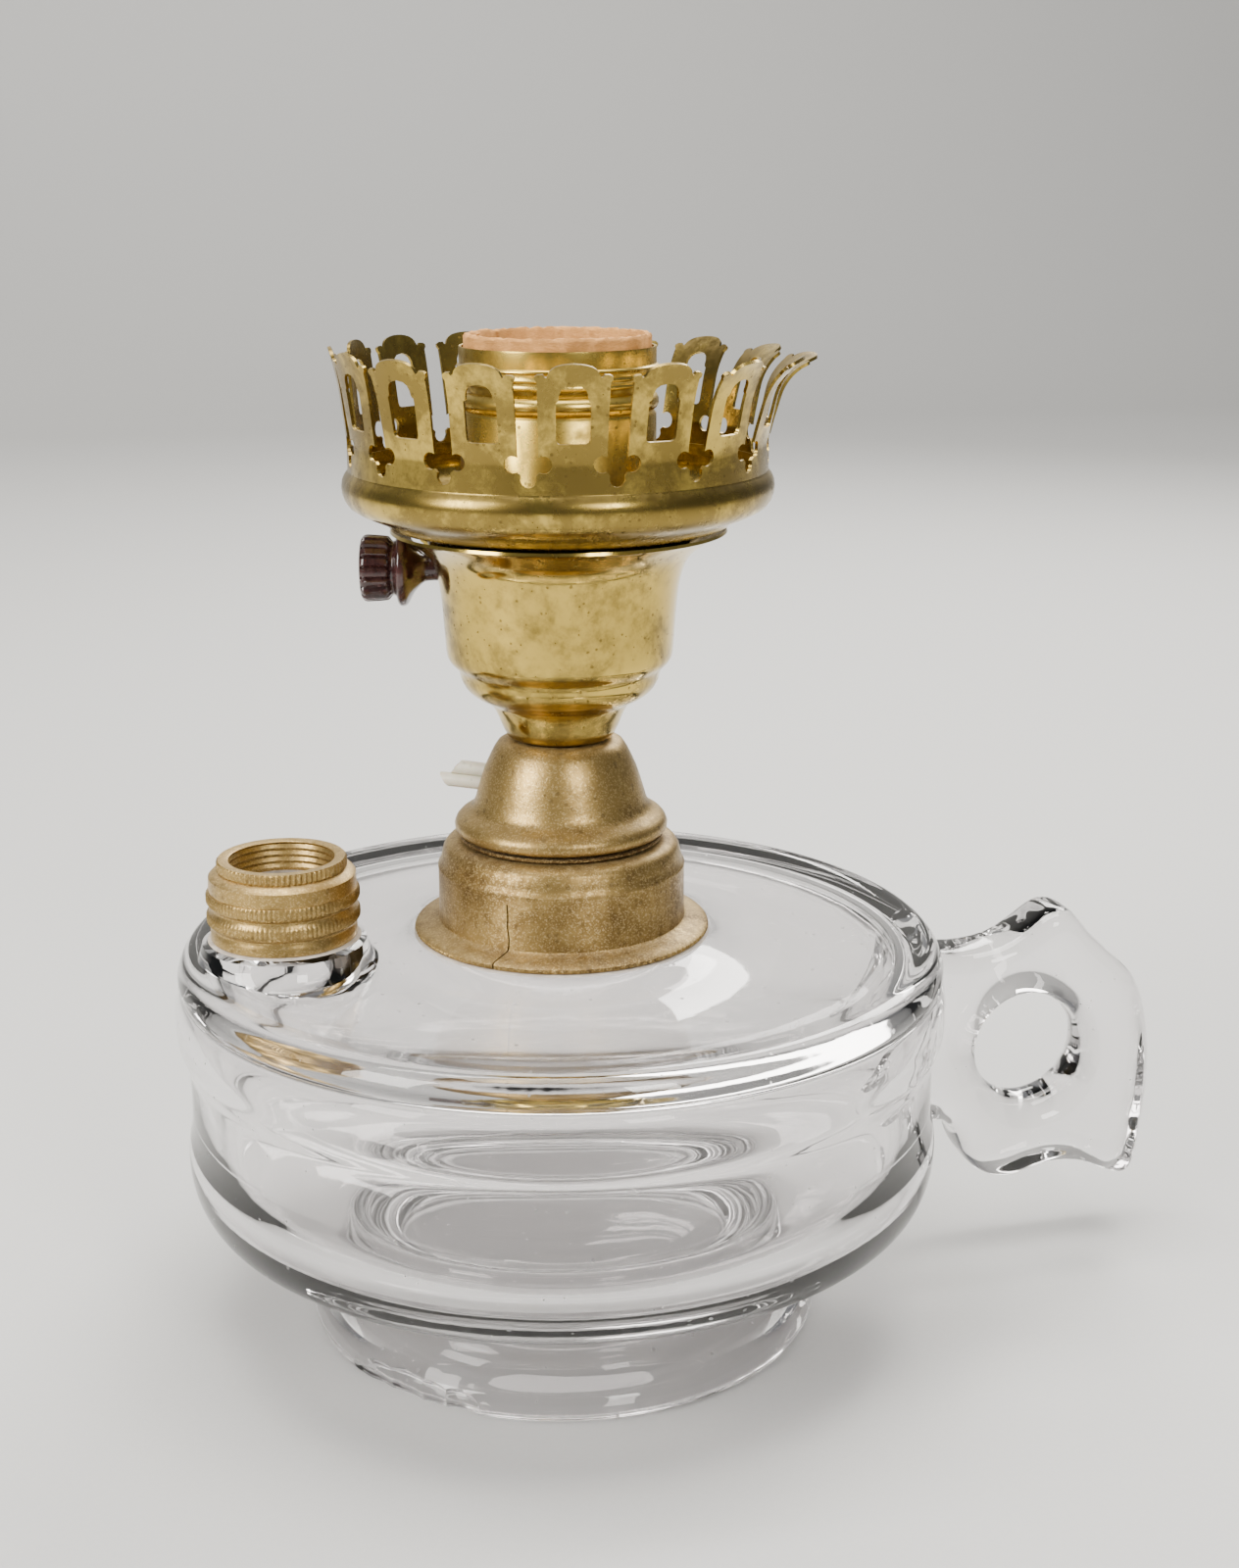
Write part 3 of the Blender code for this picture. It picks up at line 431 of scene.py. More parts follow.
class Tree:
    """Places nodes in a node tree and joins them, left to right."""

    def __init__(self, tree):
        self.tree = tree

    def node(self, kind, inputs=None, **values):
        node = self.tree.nodes.new(kind)
        for key, value in values.items():
            setattr(node, key, value)
        for key, value in (inputs or {}).items():
            self.feed(node.inputs[key], value)
        return node

    def feed(self, socket, value):
        if isinstance(value, bpy.types.NodeSocket):
            self.tree.links.new(value, socket)
        elif isinstance(value, bpy.types.Node):
            self.tree.links.new(value.outputs[0], socket)
        else:
            socket.default_value = value

    def math(self, operation, a, b=0.0, clamp=False):
        node = self.node("ShaderNodeMath", {0: a, 1: b}, operation=operation, use_clamp=clamp)
        return node.outputs[0]

    def noise(self, vector, scale, detail=4.0, rough=0.55, distortion=0.0):
        inputs = {"Vector": vector, "Scale": scale, "Detail": detail, "Roughness": rough,
                  "Distortion": distortion}
        return self.node("ShaderNodeTexNoise", inputs).outputs["Fac"]

    def ramp(self, value, low, high, to_low=0.0, to_high=1.0):
        """Smooth step of a value from one range to another."""
        node = self.node("ShaderNodeMapRange", {"Value": value, "From Min": low, "From Max": high,
                                                "To Min": to_low, "To Max": to_high},
                         interpolation_type="SMOOTHSTEP")
        return node.outputs["Result"]

    def mix(self, share, a, b, kind="RGBA"):
        """Mix two colours, or two numbers where kind is FLOAT."""
        node = self.node("ShaderNodeMix", {0: share}, data_type=kind)
        first, result = (6, 2) if kind == "RGBA" else (2, 0)
        self.feed(node.inputs[first], a)
        self.feed(node.inputs[first + 1], b)
        return node.outputs[result]


def blotches(tree, vector, scale, cover, soft):
    """Cloudy patches with crumbly edges, as tarnish, damp stains and worn paint make."""
    coarse = tree.noise(vector, scale, 6.0, 0.62, 0.6)
    fine = tree.noise(vector, tree.math("MULTIPLY", scale, 7.0), 4.0, 0.7)
    level = tree.math("SUBTRACT", 1.0, cover)
    return tree.ramp(tree.mix(0.28, coarse, fine, "FLOAT"), tree.math("SUBTRACT", level, soft),
                     tree.math("ADD", level, soft))


def specks(tree, vector, scale, size, amount):
    """Sparse small round spots of uneven size: dust grains, pits and corrosion points."""
    cell = tree.node("ShaderNodeTexVoronoi", {"Vector": vector, "Scale": scale})
    chance = tree.node("ShaderNodeSeparateColor", {"Color": cell.outputs["Color"]})
    shown = tree.math("LESS_THAN", chance.outputs[0], amount)
    reach = tree.math("MULTIPLY", size, tree.math("ADD", 0.4, chance.outputs[1]))
    spot = tree.ramp(cell.outputs["Distance"], reach, tree.math("MULTIPLY", reach, 0.5))
    return tree.math("MULTIPLY", spot, shown)


def settled_dust(tree, vector, facing, scale):
    """Where dust lies: on what faces up, in drifts."""
    normal = tree.node("ShaderNodeNewGeometry").outputs["Normal"]
    up = tree.node("ShaderNodeSeparateXYZ", {"Vector": normal}).outputs["Z"]
    drift = tree.ramp(tree.noise(vector, scale, 6.0, 0.7), 0.2, 0.85)
    return tree.math("MULTIPLY", tree.ramp(up, facing, 1.0), drift)


def turned_grain(tree, vector, scale):
    """Fine scratches drawn round a vertical axis, as a lathe and a polishing cloth leave."""
    squash = tree.node("ShaderNodeMapping", {"Vector": vector, "Scale": (0.05, 0.05, 1.0)})
    return tree.noise(squash.outputs["Vector"], scale, 3.0, 0.6)


EFFECTS = {
    "Blotches": (blotches, "Mask", {"Scale": 60.0, "Cover": 0.5, "Soft": 0.12}),
    "Specks": (specks, "Mask", {"Scale": 400.0, "Size": 0.25, "Amount": 0.3}),
    "Settled Dust": (settled_dust, "Mask", {"Facing": 0.55, "Scale": 500.0}),
    "Turned Grain": (turned_grain, "Height", {"Scale": 900.0}),
}


def effect_group(name):
    """The shared shader node group of that name, built when it is first asked for."""
    if name in bpy.data.node_groups:
        return bpy.data.node_groups[name]
    fill, result, values = EFFECTS[name]
    group = bpy.data.node_groups.new(name, "ShaderNodeTree")
    group.interface.new_socket(name="Vector", in_out="INPUT", socket_type="NodeSocketVector")
    for label, value in values.items():
        socket = group.interface.new_socket(name=label, in_out="INPUT", socket_type="NodeSocketFloat")
        socket.default_value = value
    group.interface.new_socket(name=result, in_out="OUTPUT", socket_type="NodeSocketFloat")
    tree = Tree(group)
    start = tree.node("NodeGroupInput")
    end = tree.node("NodeGroupOutput")
    tree.feed(end.inputs[result], fill(tree, *[start.outputs[label] for label in ("Vector", *values)]))
    return group


class Finish(Tree):
    """A new material, with its Principled shader and the piece's own coordinates."""

    def __init__(self, name):
        self.mat = bpy.data.materials.new(name)
        self.mat.use_nodes = True
        super().__init__(self.mat.node_tree)
        self.shader = self.tree.nodes["Principled BSDF"]
        self.place = self.node("ShaderNodeTexCoord").outputs["Object"]

    def effect(self, name, *values):
        """Mask of a shared effect, with its own values in the order of the group's inputs."""
        node = self.node("ShaderNodeGroup", {"Vector": self.place}, node_tree=effect_group(name))
        for label, value in zip(EFFECTS[name][2], values):
            node.inputs[label].default_value = value
        return node.outputs[0]

    def clouds(self, scale, cover, soft):
        return self.effect("Blotches", scale, cover, soft)

    def spots(self, scale, size, amount):
        return self.effect("Specks", scale, size, amount)

    def dust(self, facing, scale):
        return self.effect("Settled Dust", facing, scale)

    def grit(self, scale, detail=3.0, rough=0.5, distortion=0.0):
        return self.noise(self.place, scale, detail, rough, distortion)

    def part(self, mask, share):
        return self.math("MULTIPLY", mask, share)

    def over(self, base, mask, share, color):
        """Lay a colour over another where the mask is, at a share of its full strength."""
        return self.mix(self.part(mask, share), base, color)

    def total(self, start, *masks):
        """A number with a share of each mask added to it."""
        for mask, share in masks:
            start = self.math("ADD", start, self.part(mask, share))
        return start

    def end(self, color, rough, height, strength, distance, **plain):
        """Feed the shader; plain holds the sockets that are one number, with _ for a space."""
        self.feed(self.shader.inputs["Base Color"], color)
        self.feed(self.shader.inputs["Roughness"], rough)
        for key, value in plain.items():
            self.feed(self.shader.inputs[key.replace("_", " ")], value)
        if height:
            inputs = {"Height": height, "Strength": strength, "Distance": distance}
            self.feed(self.shader.inputs["Normal"], self.node("ShaderNodeBump", inputs).outputs["Normal"])
        return self.mat


def shade(color, gain=1.0, lift=0.0):
    """Colour with its alpha, made lighter or darker."""
    return (*(min(1.0, c * gain + lift) for c in color[:3]), 1.0)


# ------------------------------------------------------------------------------------------ finishes

def clear_glass(name="clear_pressed_glass"):
    """Thick pressed glass: rippled by the mould, faintly tinted, with dust and small seeds."""
    glass = Finish(name)
    dust = glass.dust(0.35, 900.0)
    grains = glass.spots(640.0, 0.22, 0.07)
    smear = glass.clouds(45.0, 0.42, 0.15)
    rough = glass.total(0.012, (smear, 0.035), (dust, 0.05), (grains, 0.45))
    color = glass.over(shade(settings("glass").tint), grains, 0.4, (0.8, 0.78, 0.75, 1))
    height = glass.total(glass.grit(30.0, 1.5, 0.4, 0.3), (glass.grit(210.0, 2.0), 0.06))
    return glass.end(color, rough, height, 0.2, 0.0009, Transmission_Weight=1.0, IOR=1.51)


def gold_paint(name, wear_and_shade_cover=0.4, scale=70.0):
    """Bronze powder paint: glittering flake, dark patches (rubbed wear at a light cover, painted shade at a
    heavy cover) and dust in the low places.
    """
    metal = settings("metal")
    paint = Finish(name)
    # Dark cloudy patches: rubbed wear on the collars and the dome; on the threaded skirt they cover most of
    # it and are painted shade.
    worn = paint.clouds(scale, wear_and_shade_cover, 0.16)
    pits = paint.spots(900.0, 0.42, 0.3)
    dust = paint.dust(0.5, 700.0)
    flake = paint.node("ShaderNodeTexVoronoi", {"Vector": paint.place, "Scale": 4200.0})
    glint = paint.node("ShaderNodeSeparateColor", {"Color": flake.outputs["Color"]}).outputs[0]
    base = paint.mix(worn, shade(metal.gold), shade(metal.gold_worn_and_shade))
    bright = paint.mix(paint.ramp(glint, 0.55, 1.0, 0.0, 0.5), base, (0.78, 0.58, 0.26, 1))
    pitted = paint.over(bright, pits, 0.45, (0.12, 0.075, 0.03, 1))
    dusty = paint.over(pitted, dust, 0.3, (0.46, 0.37, 0.24, 1))
    height = paint.total(paint.grit(420.0), (paint.grit(2300.0, 3.0, 0.6), 0.35))
    return paint.end(dusty, paint.total(0.36, (worn, 0.14), (dust, 0.25)), height, 0.4, 0.00018,
                     Metallic=paint.total(0.86, (dust, -0.5)))


def polished_brass(name, spots=0.38, rough=0.13, dust_cover=0.25, scale=55.0):
    """Old polished brass: mirror bright with brown clouds, fine spots, turning lines and dust."""
    metal = settings("metal")
    brass = Finish(name)
    cloud = brass.clouds(scale, spots, 0.1)
    pits = brass.spots(1300.0, 0.38, 0.14)
    dust = brass.dust(0.25, 650.0)
    base = brass.over(shade(metal.brass), cloud, 0.72, shade(metal.tarnish))
    spotted = brass.over(base, pits, 0.55, shade(metal.tarnish))
    dusted = brass.over(spotted, dust, dust_cover, (0.54, 0.41, 0.20, 1))
    height = brass.total(0.0, (brass.effect("Turned Grain", 1400.0), 0.08), (brass.grit(75.0, 2.0, 0.4), 0.9))
    return brass.end(dusted, brass.total(rough, (cloud, 0.16), (pits, 0.2), (dust, dust_cover)), height,
                     0.3, 0.0003, Metallic=brass.total(1.0, (dust, -dust_cover)))


def pressed_fibre(name, color):
    """Layered paper fibre: stringy, fuzzy and darker in its torn places."""
    fibre = Finish(name)
    pull = fibre.node("ShaderNodeMapping", {"Vector": fibre.place, "Scale": (1.0, 1.0, 3.2)})
    strings = fibre.noise(pull.outputs["Vector"], 620.0, 5.0, 0.7, 1.2)
    patch = fibre.grit(110.0, 4.0, 0.6)
    body = fibre.mix(fibre.ramp(strings, 0.35, 0.7), shade(color), shade(color, 1.25, 0.02))
    torn = fibre.mix(fibre.ramp(patch, 0.52, 0.75, 0.0, 0.7), body, shade(color, 0.52))
    return fibre.end(torn, 0.88, fibre.math("ADD", strings, patch), 0.6, 0.00025, Specular_IOR_Level=0.25)


def dark_bakelite(name):
    """Moulded phenolic: dark red-brown, glossy on the ribs, with dust in the grooves."""
    color = settings("trim").bakelite
    resin = Finish(name)
    dust = resin.dust(0.4, 900.0)
    swirl = resin.ramp(resin.grit(160.0, 5.0, 0.6, 1.5), 0.4, 0.7)
    body = resin.mix(swirl, shade(color), shade(color, 2.2, 0.01))
    return resin.end(resin.over(body, dust, 0.07, (0.3, 0.27, 0.23, 1)), resin.total(0.14, (dust, 0.2)),
                     resin.grit(700.0), 0.15, 0.0001, Coat_Weight=0.35, Coat_Roughness=0.12)


def cord_vinyl(name):
    """Cream jacket of a twin cord: soft sheen, grime along it and scuffs."""
    color = settings("trim").vinyl
    jacket = Finish(name)
    grime = jacket.clouds(140.0, 0.42, 0.2)
    scuff = jacket.spots(1100.0, 0.4, 0.2)
    body = jacket.over(shade(color), grime, 0.3, shade(color, 0.55))
    return jacket.end(jacket.over(body, scuff, 0.3, (0.42, 0.37, 0.28, 1)), jacket.total(0.42, (grime, 0.15)),
                      jacket.grit(900.0), 0.2, 0.0001, Subsurface_Weight=0.12, Subsurface_Scale=0.001)


def cement_plaster(name):
    """Crumbly plaster of Paris, stained by oil."""
    plaster = Finish(name)
    crumb = plaster.grit(480.0, 6.0, 0.7)
    stain = plaster.clouds(90.0, 0.5, 0.2)
    body = plaster.over(shade(settings("trim").cement), stain, 0.55, (0.42, 0.33, 0.26, 1))
    color = plaster.mix(plaster.ramp(crumb, 0.6, 0.4, 0.0, 0.35), body, (0.3, 0.24, 0.2, 1))
    return plaster.end(color, 0.92, crumb, 0.8, 0.0004)


def plated_metal(name, color, rough):
    """Plain plated or bare metal for the hidden hardware, dull with age."""
    metal = Finish(name)
    age = metal.clouds(180.0, 0.4, 0.2)
    return metal.end(metal.over(shade(color), age, 0.6, shade(color, 0.4)), metal.total(rough, (age, 0.25)),
                     metal.grit(800.0, 3.0, 0.6), 0.2, 0.0001, Metallic=1.0)


def plain_floor(name):
    """Matte paper floor with the slightest tooth."""
    paper = Finish(name)
    tooth = paper.ramp(paper.grit(900.0), 0.3, 0.7, 0.0, 0.05)
    color = paper.mix(tooth, shade(settings("stage").floor), (0.4, 0.4, 0.4, 1))
    return paper.end(color, 0.6, None, 0.0, 0.0)


# ------------------------------------------------------------------------------------------ cord line

CORD_ROUTE = [
    (0, 0, 31), (0, 0, 25), (0, 0, 19), (0, 0, 15.5), (-0.4, 1.3, 11.7), (-0.5, 3.4, 8.4), (0.4, 5.9, 5.4),
    (1.7, 8.2, 2.5), (3, 9.9, -0.8), (4.2, 10.4, -4.4), (5.1, 9.7, -8.1), (5.8, 8, -11.6), (5.9, 5.3, -14.6),
    (5.4, 2, -16.5), (4.3, -1.6, -17.2), (2.6, -5.1, -16.7), (0.4, -8, -15.1), (-1.9, -9.7, -12.5),
    (-3.9, -10.2, -9.2), (-5.2, -9.8, -5.6), (-5.5, -8.3, -2), (-4.6, -6.4, 1.3), (-2.4, -4.5, 3.9),
    (0.7, -3, 5.6), (4.4, -2, 6.8), (8.1, -1.2, 7.6), (12, -0.5, 8.2), (16, -0.1, 8.5), (20, 0, 8.6),
    (23.7, 0, 8.6),
]


def cord_point(x, y, z):
    """Place of a cord point: x is the way out of the dome, heights above the dome's rim."""
    turned = Matrix.Rotation(CORD_AZ, 3, "Z") @ Vector((x, y, z))
    return Vector((AXIS_X, 0, DOME_Z)) + turned * MM


def cord_line(count=150):
    """Evenly spaced points of the smooth curve through the route."""
    points = [cord_point(*p) for p in CORD_ROUTE]
    points = [points[0] * 2 - points[1]] + points + [points[-1] * 2 - points[-2]]
    fine = []
    for a, b, c, d in zip(points, points[1:], points[2:], points[3:]):
        for k in range(12):
            t = k / 12
            fine.append(0.5 * (2 * b + (c - a) * t + (2 * a - 5 * b + 4 * c - d) * t * t
                               + (3 * b - a - 3 * c + d) * t ** 3))
    fine.append(points[-2])
    run = [0.0]
    for a, b in zip(fine, fine[1:]):
        run.append(run[-1] + (b - a).length)
    line = []
    at = 0
    for n in range(count):
        want = run[-1] * n / (count - 1)
        while at < len(run) - 2 and run[at + 1] < want:
            at += 1
        line.append(fine[at].lerp(fine[at + 1], (want - run[at]) / (run[at + 1] - run[at])))
    return line, run[-1]


def strand(name, points, radius, resolution=4):
    """Round tube along the points, with closed ends, as a mesh."""
    curve = bpy.data.curves.new(name, "CURVE")
    curve.dimensions = "3D"
    curve.bevel_depth = radius
    curve.bevel_resolution = resolution
    curve.use_fill_caps = True
    spline = curve.splines.new("POLY")
    spline.points.add(len(points) - 1)
    for place, point in zip(spline.points, points):
        place.co = (*point, 1)
    return meshed(name, curve)


# ------------------------------------------------------------------------------------------ operators

class FINGERLAMP_OT_camera(bpy.types.Operator):
    """Place the camera a little above the lamp, to the left of the handle"""
    bl_idname = "finger_lamp.camera"
    bl_label = "Camera"

    from_axis = (-0.08025, -0.3655, 0.20527)
    tilt, turn = 74.395, -14.0

    def execute(self, context):
        data = bpy.data.cameras.new("camera")
        data.lens = settings("stage").lens
        data.sensor_width = 36
        data.clip_start = 0.01
        camera = bpy.data.objects.new("camera", data)
        context.scene.collection.objects.link(camera)
        camera.location = Vector((AXIS_X, 0, 0)) + Vector(self.from_axis)
        camera.rotation_euler = (radians(self.tilt), 0, radians(self.turn))
        context.scene.camera = camera
        return {"FINISHED"}


class FINGERLAMP_OT_cord(bpy.types.Operator):
    """Make the twin cord from the socket, through the pipe and out of the dome, cut off short"""
    bl_idname = "finger_lamp.cord"
    bl_label = "Cord"

    half = 0.00127
    cut_back = 0.0009
    twist_from, twist_over = 0.72, 0.22
    wire_r, wire_ring, wire_depth, wire_proud = 0.00017, 0.00042, 0.004, 0.00018

    def execute(self, context):
        line, length = cord_line()
        half = self.half
        cores = [[], []]
        last = line[-1] - line[-2]
        side = Vector((-sin(CORD_AZ), cos(CORD_AZ), 0))
        up = side
        for i, point in enumerate(line):
            ahead = (line[min(i + 1, len(line) - 1)] - line[max(i - 1, 0)]).normalized()
            up = (up - ahead * up.dot(ahead)).normalized()
            share = max(0.0, (i - len(line) * self.twist_from) / (len(line) * self.twist_over))
            want = Vector((0, 0, 1)) - ahead * ahead.z
            if share > 0 and want.length > 0.2:
                up = up.lerp(want.normalized(), min(1.0, share)).normalized()
            cores[0].append(point + up * half)
            cores[1].append(point - up * half)
        ends = ((cores[0][-4], 38), (cores[1][-1], -34))
        halves = [strand("cord_upper_core", cores[0][:-3], half * 1.02),
                  strand("cord_lower_core", cores[1], half * 1.02)]
        for core, (end, slant) in zip(halves, ends):
            self.snip(core, end, last.normalized(), slant)
        cord = joined("lamp_cord_twin", *halves)
        smooth(cord, 50)
        dress(cord, cord_vinyl("cream_cord_vinyl"), "burner", "vinyl", "lamp_cord")
        wires = [self.wires(name, end, last, slant)
                 for name, (end, slant) in zip(("cord_wires_upper", "cord_wires_lower"), ends)]
        copper = plated_metal("cord_copper", COPPER, 0.3)
        for piece in wires:
            dress(piece, copper, "burner", "copper")
        return {"FINISHED"}

    def snip(self, core, end, ahead, slant):
        """Cut a core's end off on a slant."""
        tilt = Matrix.Rotation(radians(slant), 3, ahead.cross(Vector((0, 0, 1)))) @ ahead
        edit(core)
        place = end - ahead * self.cut_back
        bpy.ops.mesh.bisect(plane_co=place, plane_no=tilt, use_fill=True, clear_outer=True)
        leave()

    def wires(self, name, end, ahead, slant):
        """Bundle of fine strands that shows in the cut face."""
        ahead = ahead.normalized()
        across = ahead.cross(Vector((0, 0, 1))).normalized()
        up = across.cross(ahead).normalized()
        tilt = Matrix.Rotation(radians(slant), 3, across) @ ahead
        pieces = []
        for k in range(7):
            turn = k * pi / 3
            reach = 0.0 if k == 6 else self.wire_ring
            offset = across * cos(turn) * reach + up * sin(turn) * reach
            start = end + offset - ahead * self.wire_depth
            face = end - ahead * self.cut_back
            run = (face - start).dot(tilt) / ahead.dot(tilt) + self.wire_proud
            pieces.append(strand(name + str(k), [start, start + ahead * run], self.wire_r, 1))
        return joined(name, *pieces)


class FINGERLAMP_OT_glass(bpy.types.Operator):
    """Make the font, its filler boss and the finger handle as one piece of pressed glass"""
    bl_idname = "finger_lamp.glass"
    bl_label = "Glass Font and Handle"

    def execute(self, context):
        font = self.turn_font()
        boss = self.turn_boss()
        carve(font, boss, "UNION")
        well = lathe("well", [(0, 30), (9.3, 30), (9.3, -22), (0, -22)], FILLER_LOW.z, 48, False, FILLER_X)
        carve(font, well)
        carve(font, self.handle(), "UNION")
        carve(font, self.chip())
        smooth(font, 35)
        dress(font, clear_glass(), "root", "clear_glass", "glass_font", "finger_handle")
        return {"FINISHED"}

    def turn_font(self):
        top = RIM_Z / MM
        lip = raised(top, [(17.3, 14), (19.2, 14), (19.6, 13.6), (19.6, 8), (19.7, 4.4)])
        deck = raised(top, [
            (20.4, 2.4), (23.0, 1.2), (27.4, 0.7), (32.0, -0.8), (38.0, -1.9), (46.0, -2.3), (54.0, -1.9),
            (60.0, -1.0), (64.0, -0.15),
        ])
        rim = raised(top, [(66.6, 0), (68.4, -1.0), (69.4, -2.9), (69.7, -4.6), (69.2, -5.6)])
        bead = raised(top, [(69.7, -6.8), (70.2, -9.4), (70.3, -13.0), (70.1, -15.6), (69.3, -17.6)])
        waist = [
            (68.6, top - 19.2), (68.3, top - 22.0), (68.2, top - 27.0), (68.3, top - 32.0), (68.7, 38.8),
        ]
        low = [(69.2, 36.6), (69.3, 33.8), (68.9, 30.6), (67.7, 27.6), (66.0, 25.8), (64.2, 25.3)]
        belly = [(62.5, 24.6), (57.0, 23.0), (50.0, 21.2), (44.0, 20.0), (40.4, 18.6), (38.5, 16.2)]
        foot = [
            (38.3, 13.0), (39.8, 10.2), (42.6, 7.4), (45.0, 5.9), (46.8, 4.9), (47.6, 3.4), (47.7, 1.6),
            (47.2, 0.3), (46.4, 0.0), (44.4, 0.0), (43.5, 0.7), (42.2, 3.6), (38.8, 8.0), (33.4, 12.6),
        ]
        under = [(24.0, 14.4), (12.0, 14.7), (0.0, 14.7)]
        floor = [
            (0.0, 19.0), (12.0, 19.0), (24.0, 19.2), (33.0, 20.0), (40.0, 22.6), (47.0, 25.0), (56.0, 27.4),
            (60.6, 30.0), (63.2, 34.0),
        ]
        side = [(63.9, 39.0), (64.0, 46.0), (64.2, top - 20.0), (65.2, top - 16.0), (65.8, top - 12.0)]
        roof = raised(top, [
            (65.2, -8.4), (63.0, -6.2), (59.0, -5.6), (50.0, -6.4), (42.0, -6.6), (33.0, -6.0), (27.0, -4.8),
            (21.5, -2.4), (17.9, 0.8), (17.0, 4.0), (17.0, 13.7),
        ])
        line = lip + deck + rim + bead + waist + low + belly + foot + under
        outer = rounded(line, sharp=((0.0, 14.7), (46.4, 0.0), (44.4, 0.0)), rounds=1)
        inner = rounded(floor + side + roof, sharp=((0.0, 19.0),), rounds=1)
        font = lathe("font_and_handle", outer + inner, 0.0, settings("glass").steps, True)
        return subdivide(font, 1)

    def turn_boss(self):
        seat = FILLER_LOW.z / MM - 0.3
        line = [
            (0, 8.0), (10.2, 8.0), (10.6, 7.6), (10.6, 0.4), (10.9, 0.05), (13.6, 0), (14.5, -0.5),
            (14.9, -1.6), (15.4, -3.2), (16.6, -4.6), (18.0, -5.4), (18.2, -6.6), (17.0, -8.0), (0, -8.0),
        ]
        boss = lathe("boss", line, seat * MM, 72, False, FILLER_X)
        room = lathe("room", [(0, 20), (66.0, 20), (66.0, -20), (0, -20)], seat * MM, 96, False)
        return carve(boss, room, "INTERSECT")

    def handle(self):
        root_x, root_z = 68.4, 41.7
        edge = [
            (-2.1, 25.0, 1), (2.0, 23.6), (6.4, 22.0), (13.5, 22.0), (18.6, 23.4), (23.4, 26.6),
            (27.8, 29.1), (31.0, 28.4), (35.6, 23.4), (41.0, 18.2), (45.8, 13.4), (49.0, 4.0), (50.0, -6.2),
            (49.3, -18.0), (47.8, -27.0), (46.4, -29.0), (42.0, -27.9), (37.0, -25.6), (32.0, -24.7),
            (26.5, -25.3), (21.0, -26.7), (15.6, -25.6), (10.6, -20.4), (7.2, -13.6), (2.2, -13.2),
            (-2.1, -14.2, 1),
        ]
        outline = [(root_x + x, root_z + z, *sharp) for x, z, *sharp in edge]
        plate = flat_plate("handle", [outline], 7.0, 3.8, 2)
        settle(plate, Matrix.Translation((AXIS_X, 0, 0)) @ Matrix.Rotation(radians(90), 4, "X"))
        flare = [(10.4, 0), (10.7, 2.0), (11.8, 4.0), (13.6, 5.8), (15.6, 7.2), (17.0, 9.0)]
        line = [(0, -9.0)] + [(r, -h) for r, h in flare[:0:-1]] + flare + [(0, 9.0)]
        hole = lathe("hole", line, 0.0, 64, False, 0.0)
        along(hole, (AXIS_X + (root_x + 24.3) * MM, 0, (root_z + 0.2) * MM), (0, 1, 0))
        carve(plate, hole)
        finish_with(plate, "REMESH", mode="VOXEL", voxel_size=0.0009)
        finish_with(plate, "SMOOTH", factor=0.5, iterations=24)
        return plate

    def chip(self):
        """Flake out of the foot's edge, deepest at its two notched ends."""
        depth = settings("glass").chip_depth
        foot_r, rise = 0.0477, 0.0006
        bites = ((-125.5, 0.006, 1.0), (-132, 0.010, 0.8), (-139, 0.013, 0.9), (-146, 0.012, 0.72),
                 (-150.5, 0.014, 0.45))
        flake = None
        for azimuth, size, bite in bites:
            deselect()
            turn = radians(azimuth)
            reach = foot_r + size - depth * bite
            place = (AXIS_X + reach * cos(turn), reach * sin(turn), rise)
            bpy.ops.mesh.primitive_ico_sphere_add(subdivisions=3, radius=size, location=place)
            ball = settle(named("bite"))
            flake = carve(flake, ball, "UNION") if flake else ball
        return flake


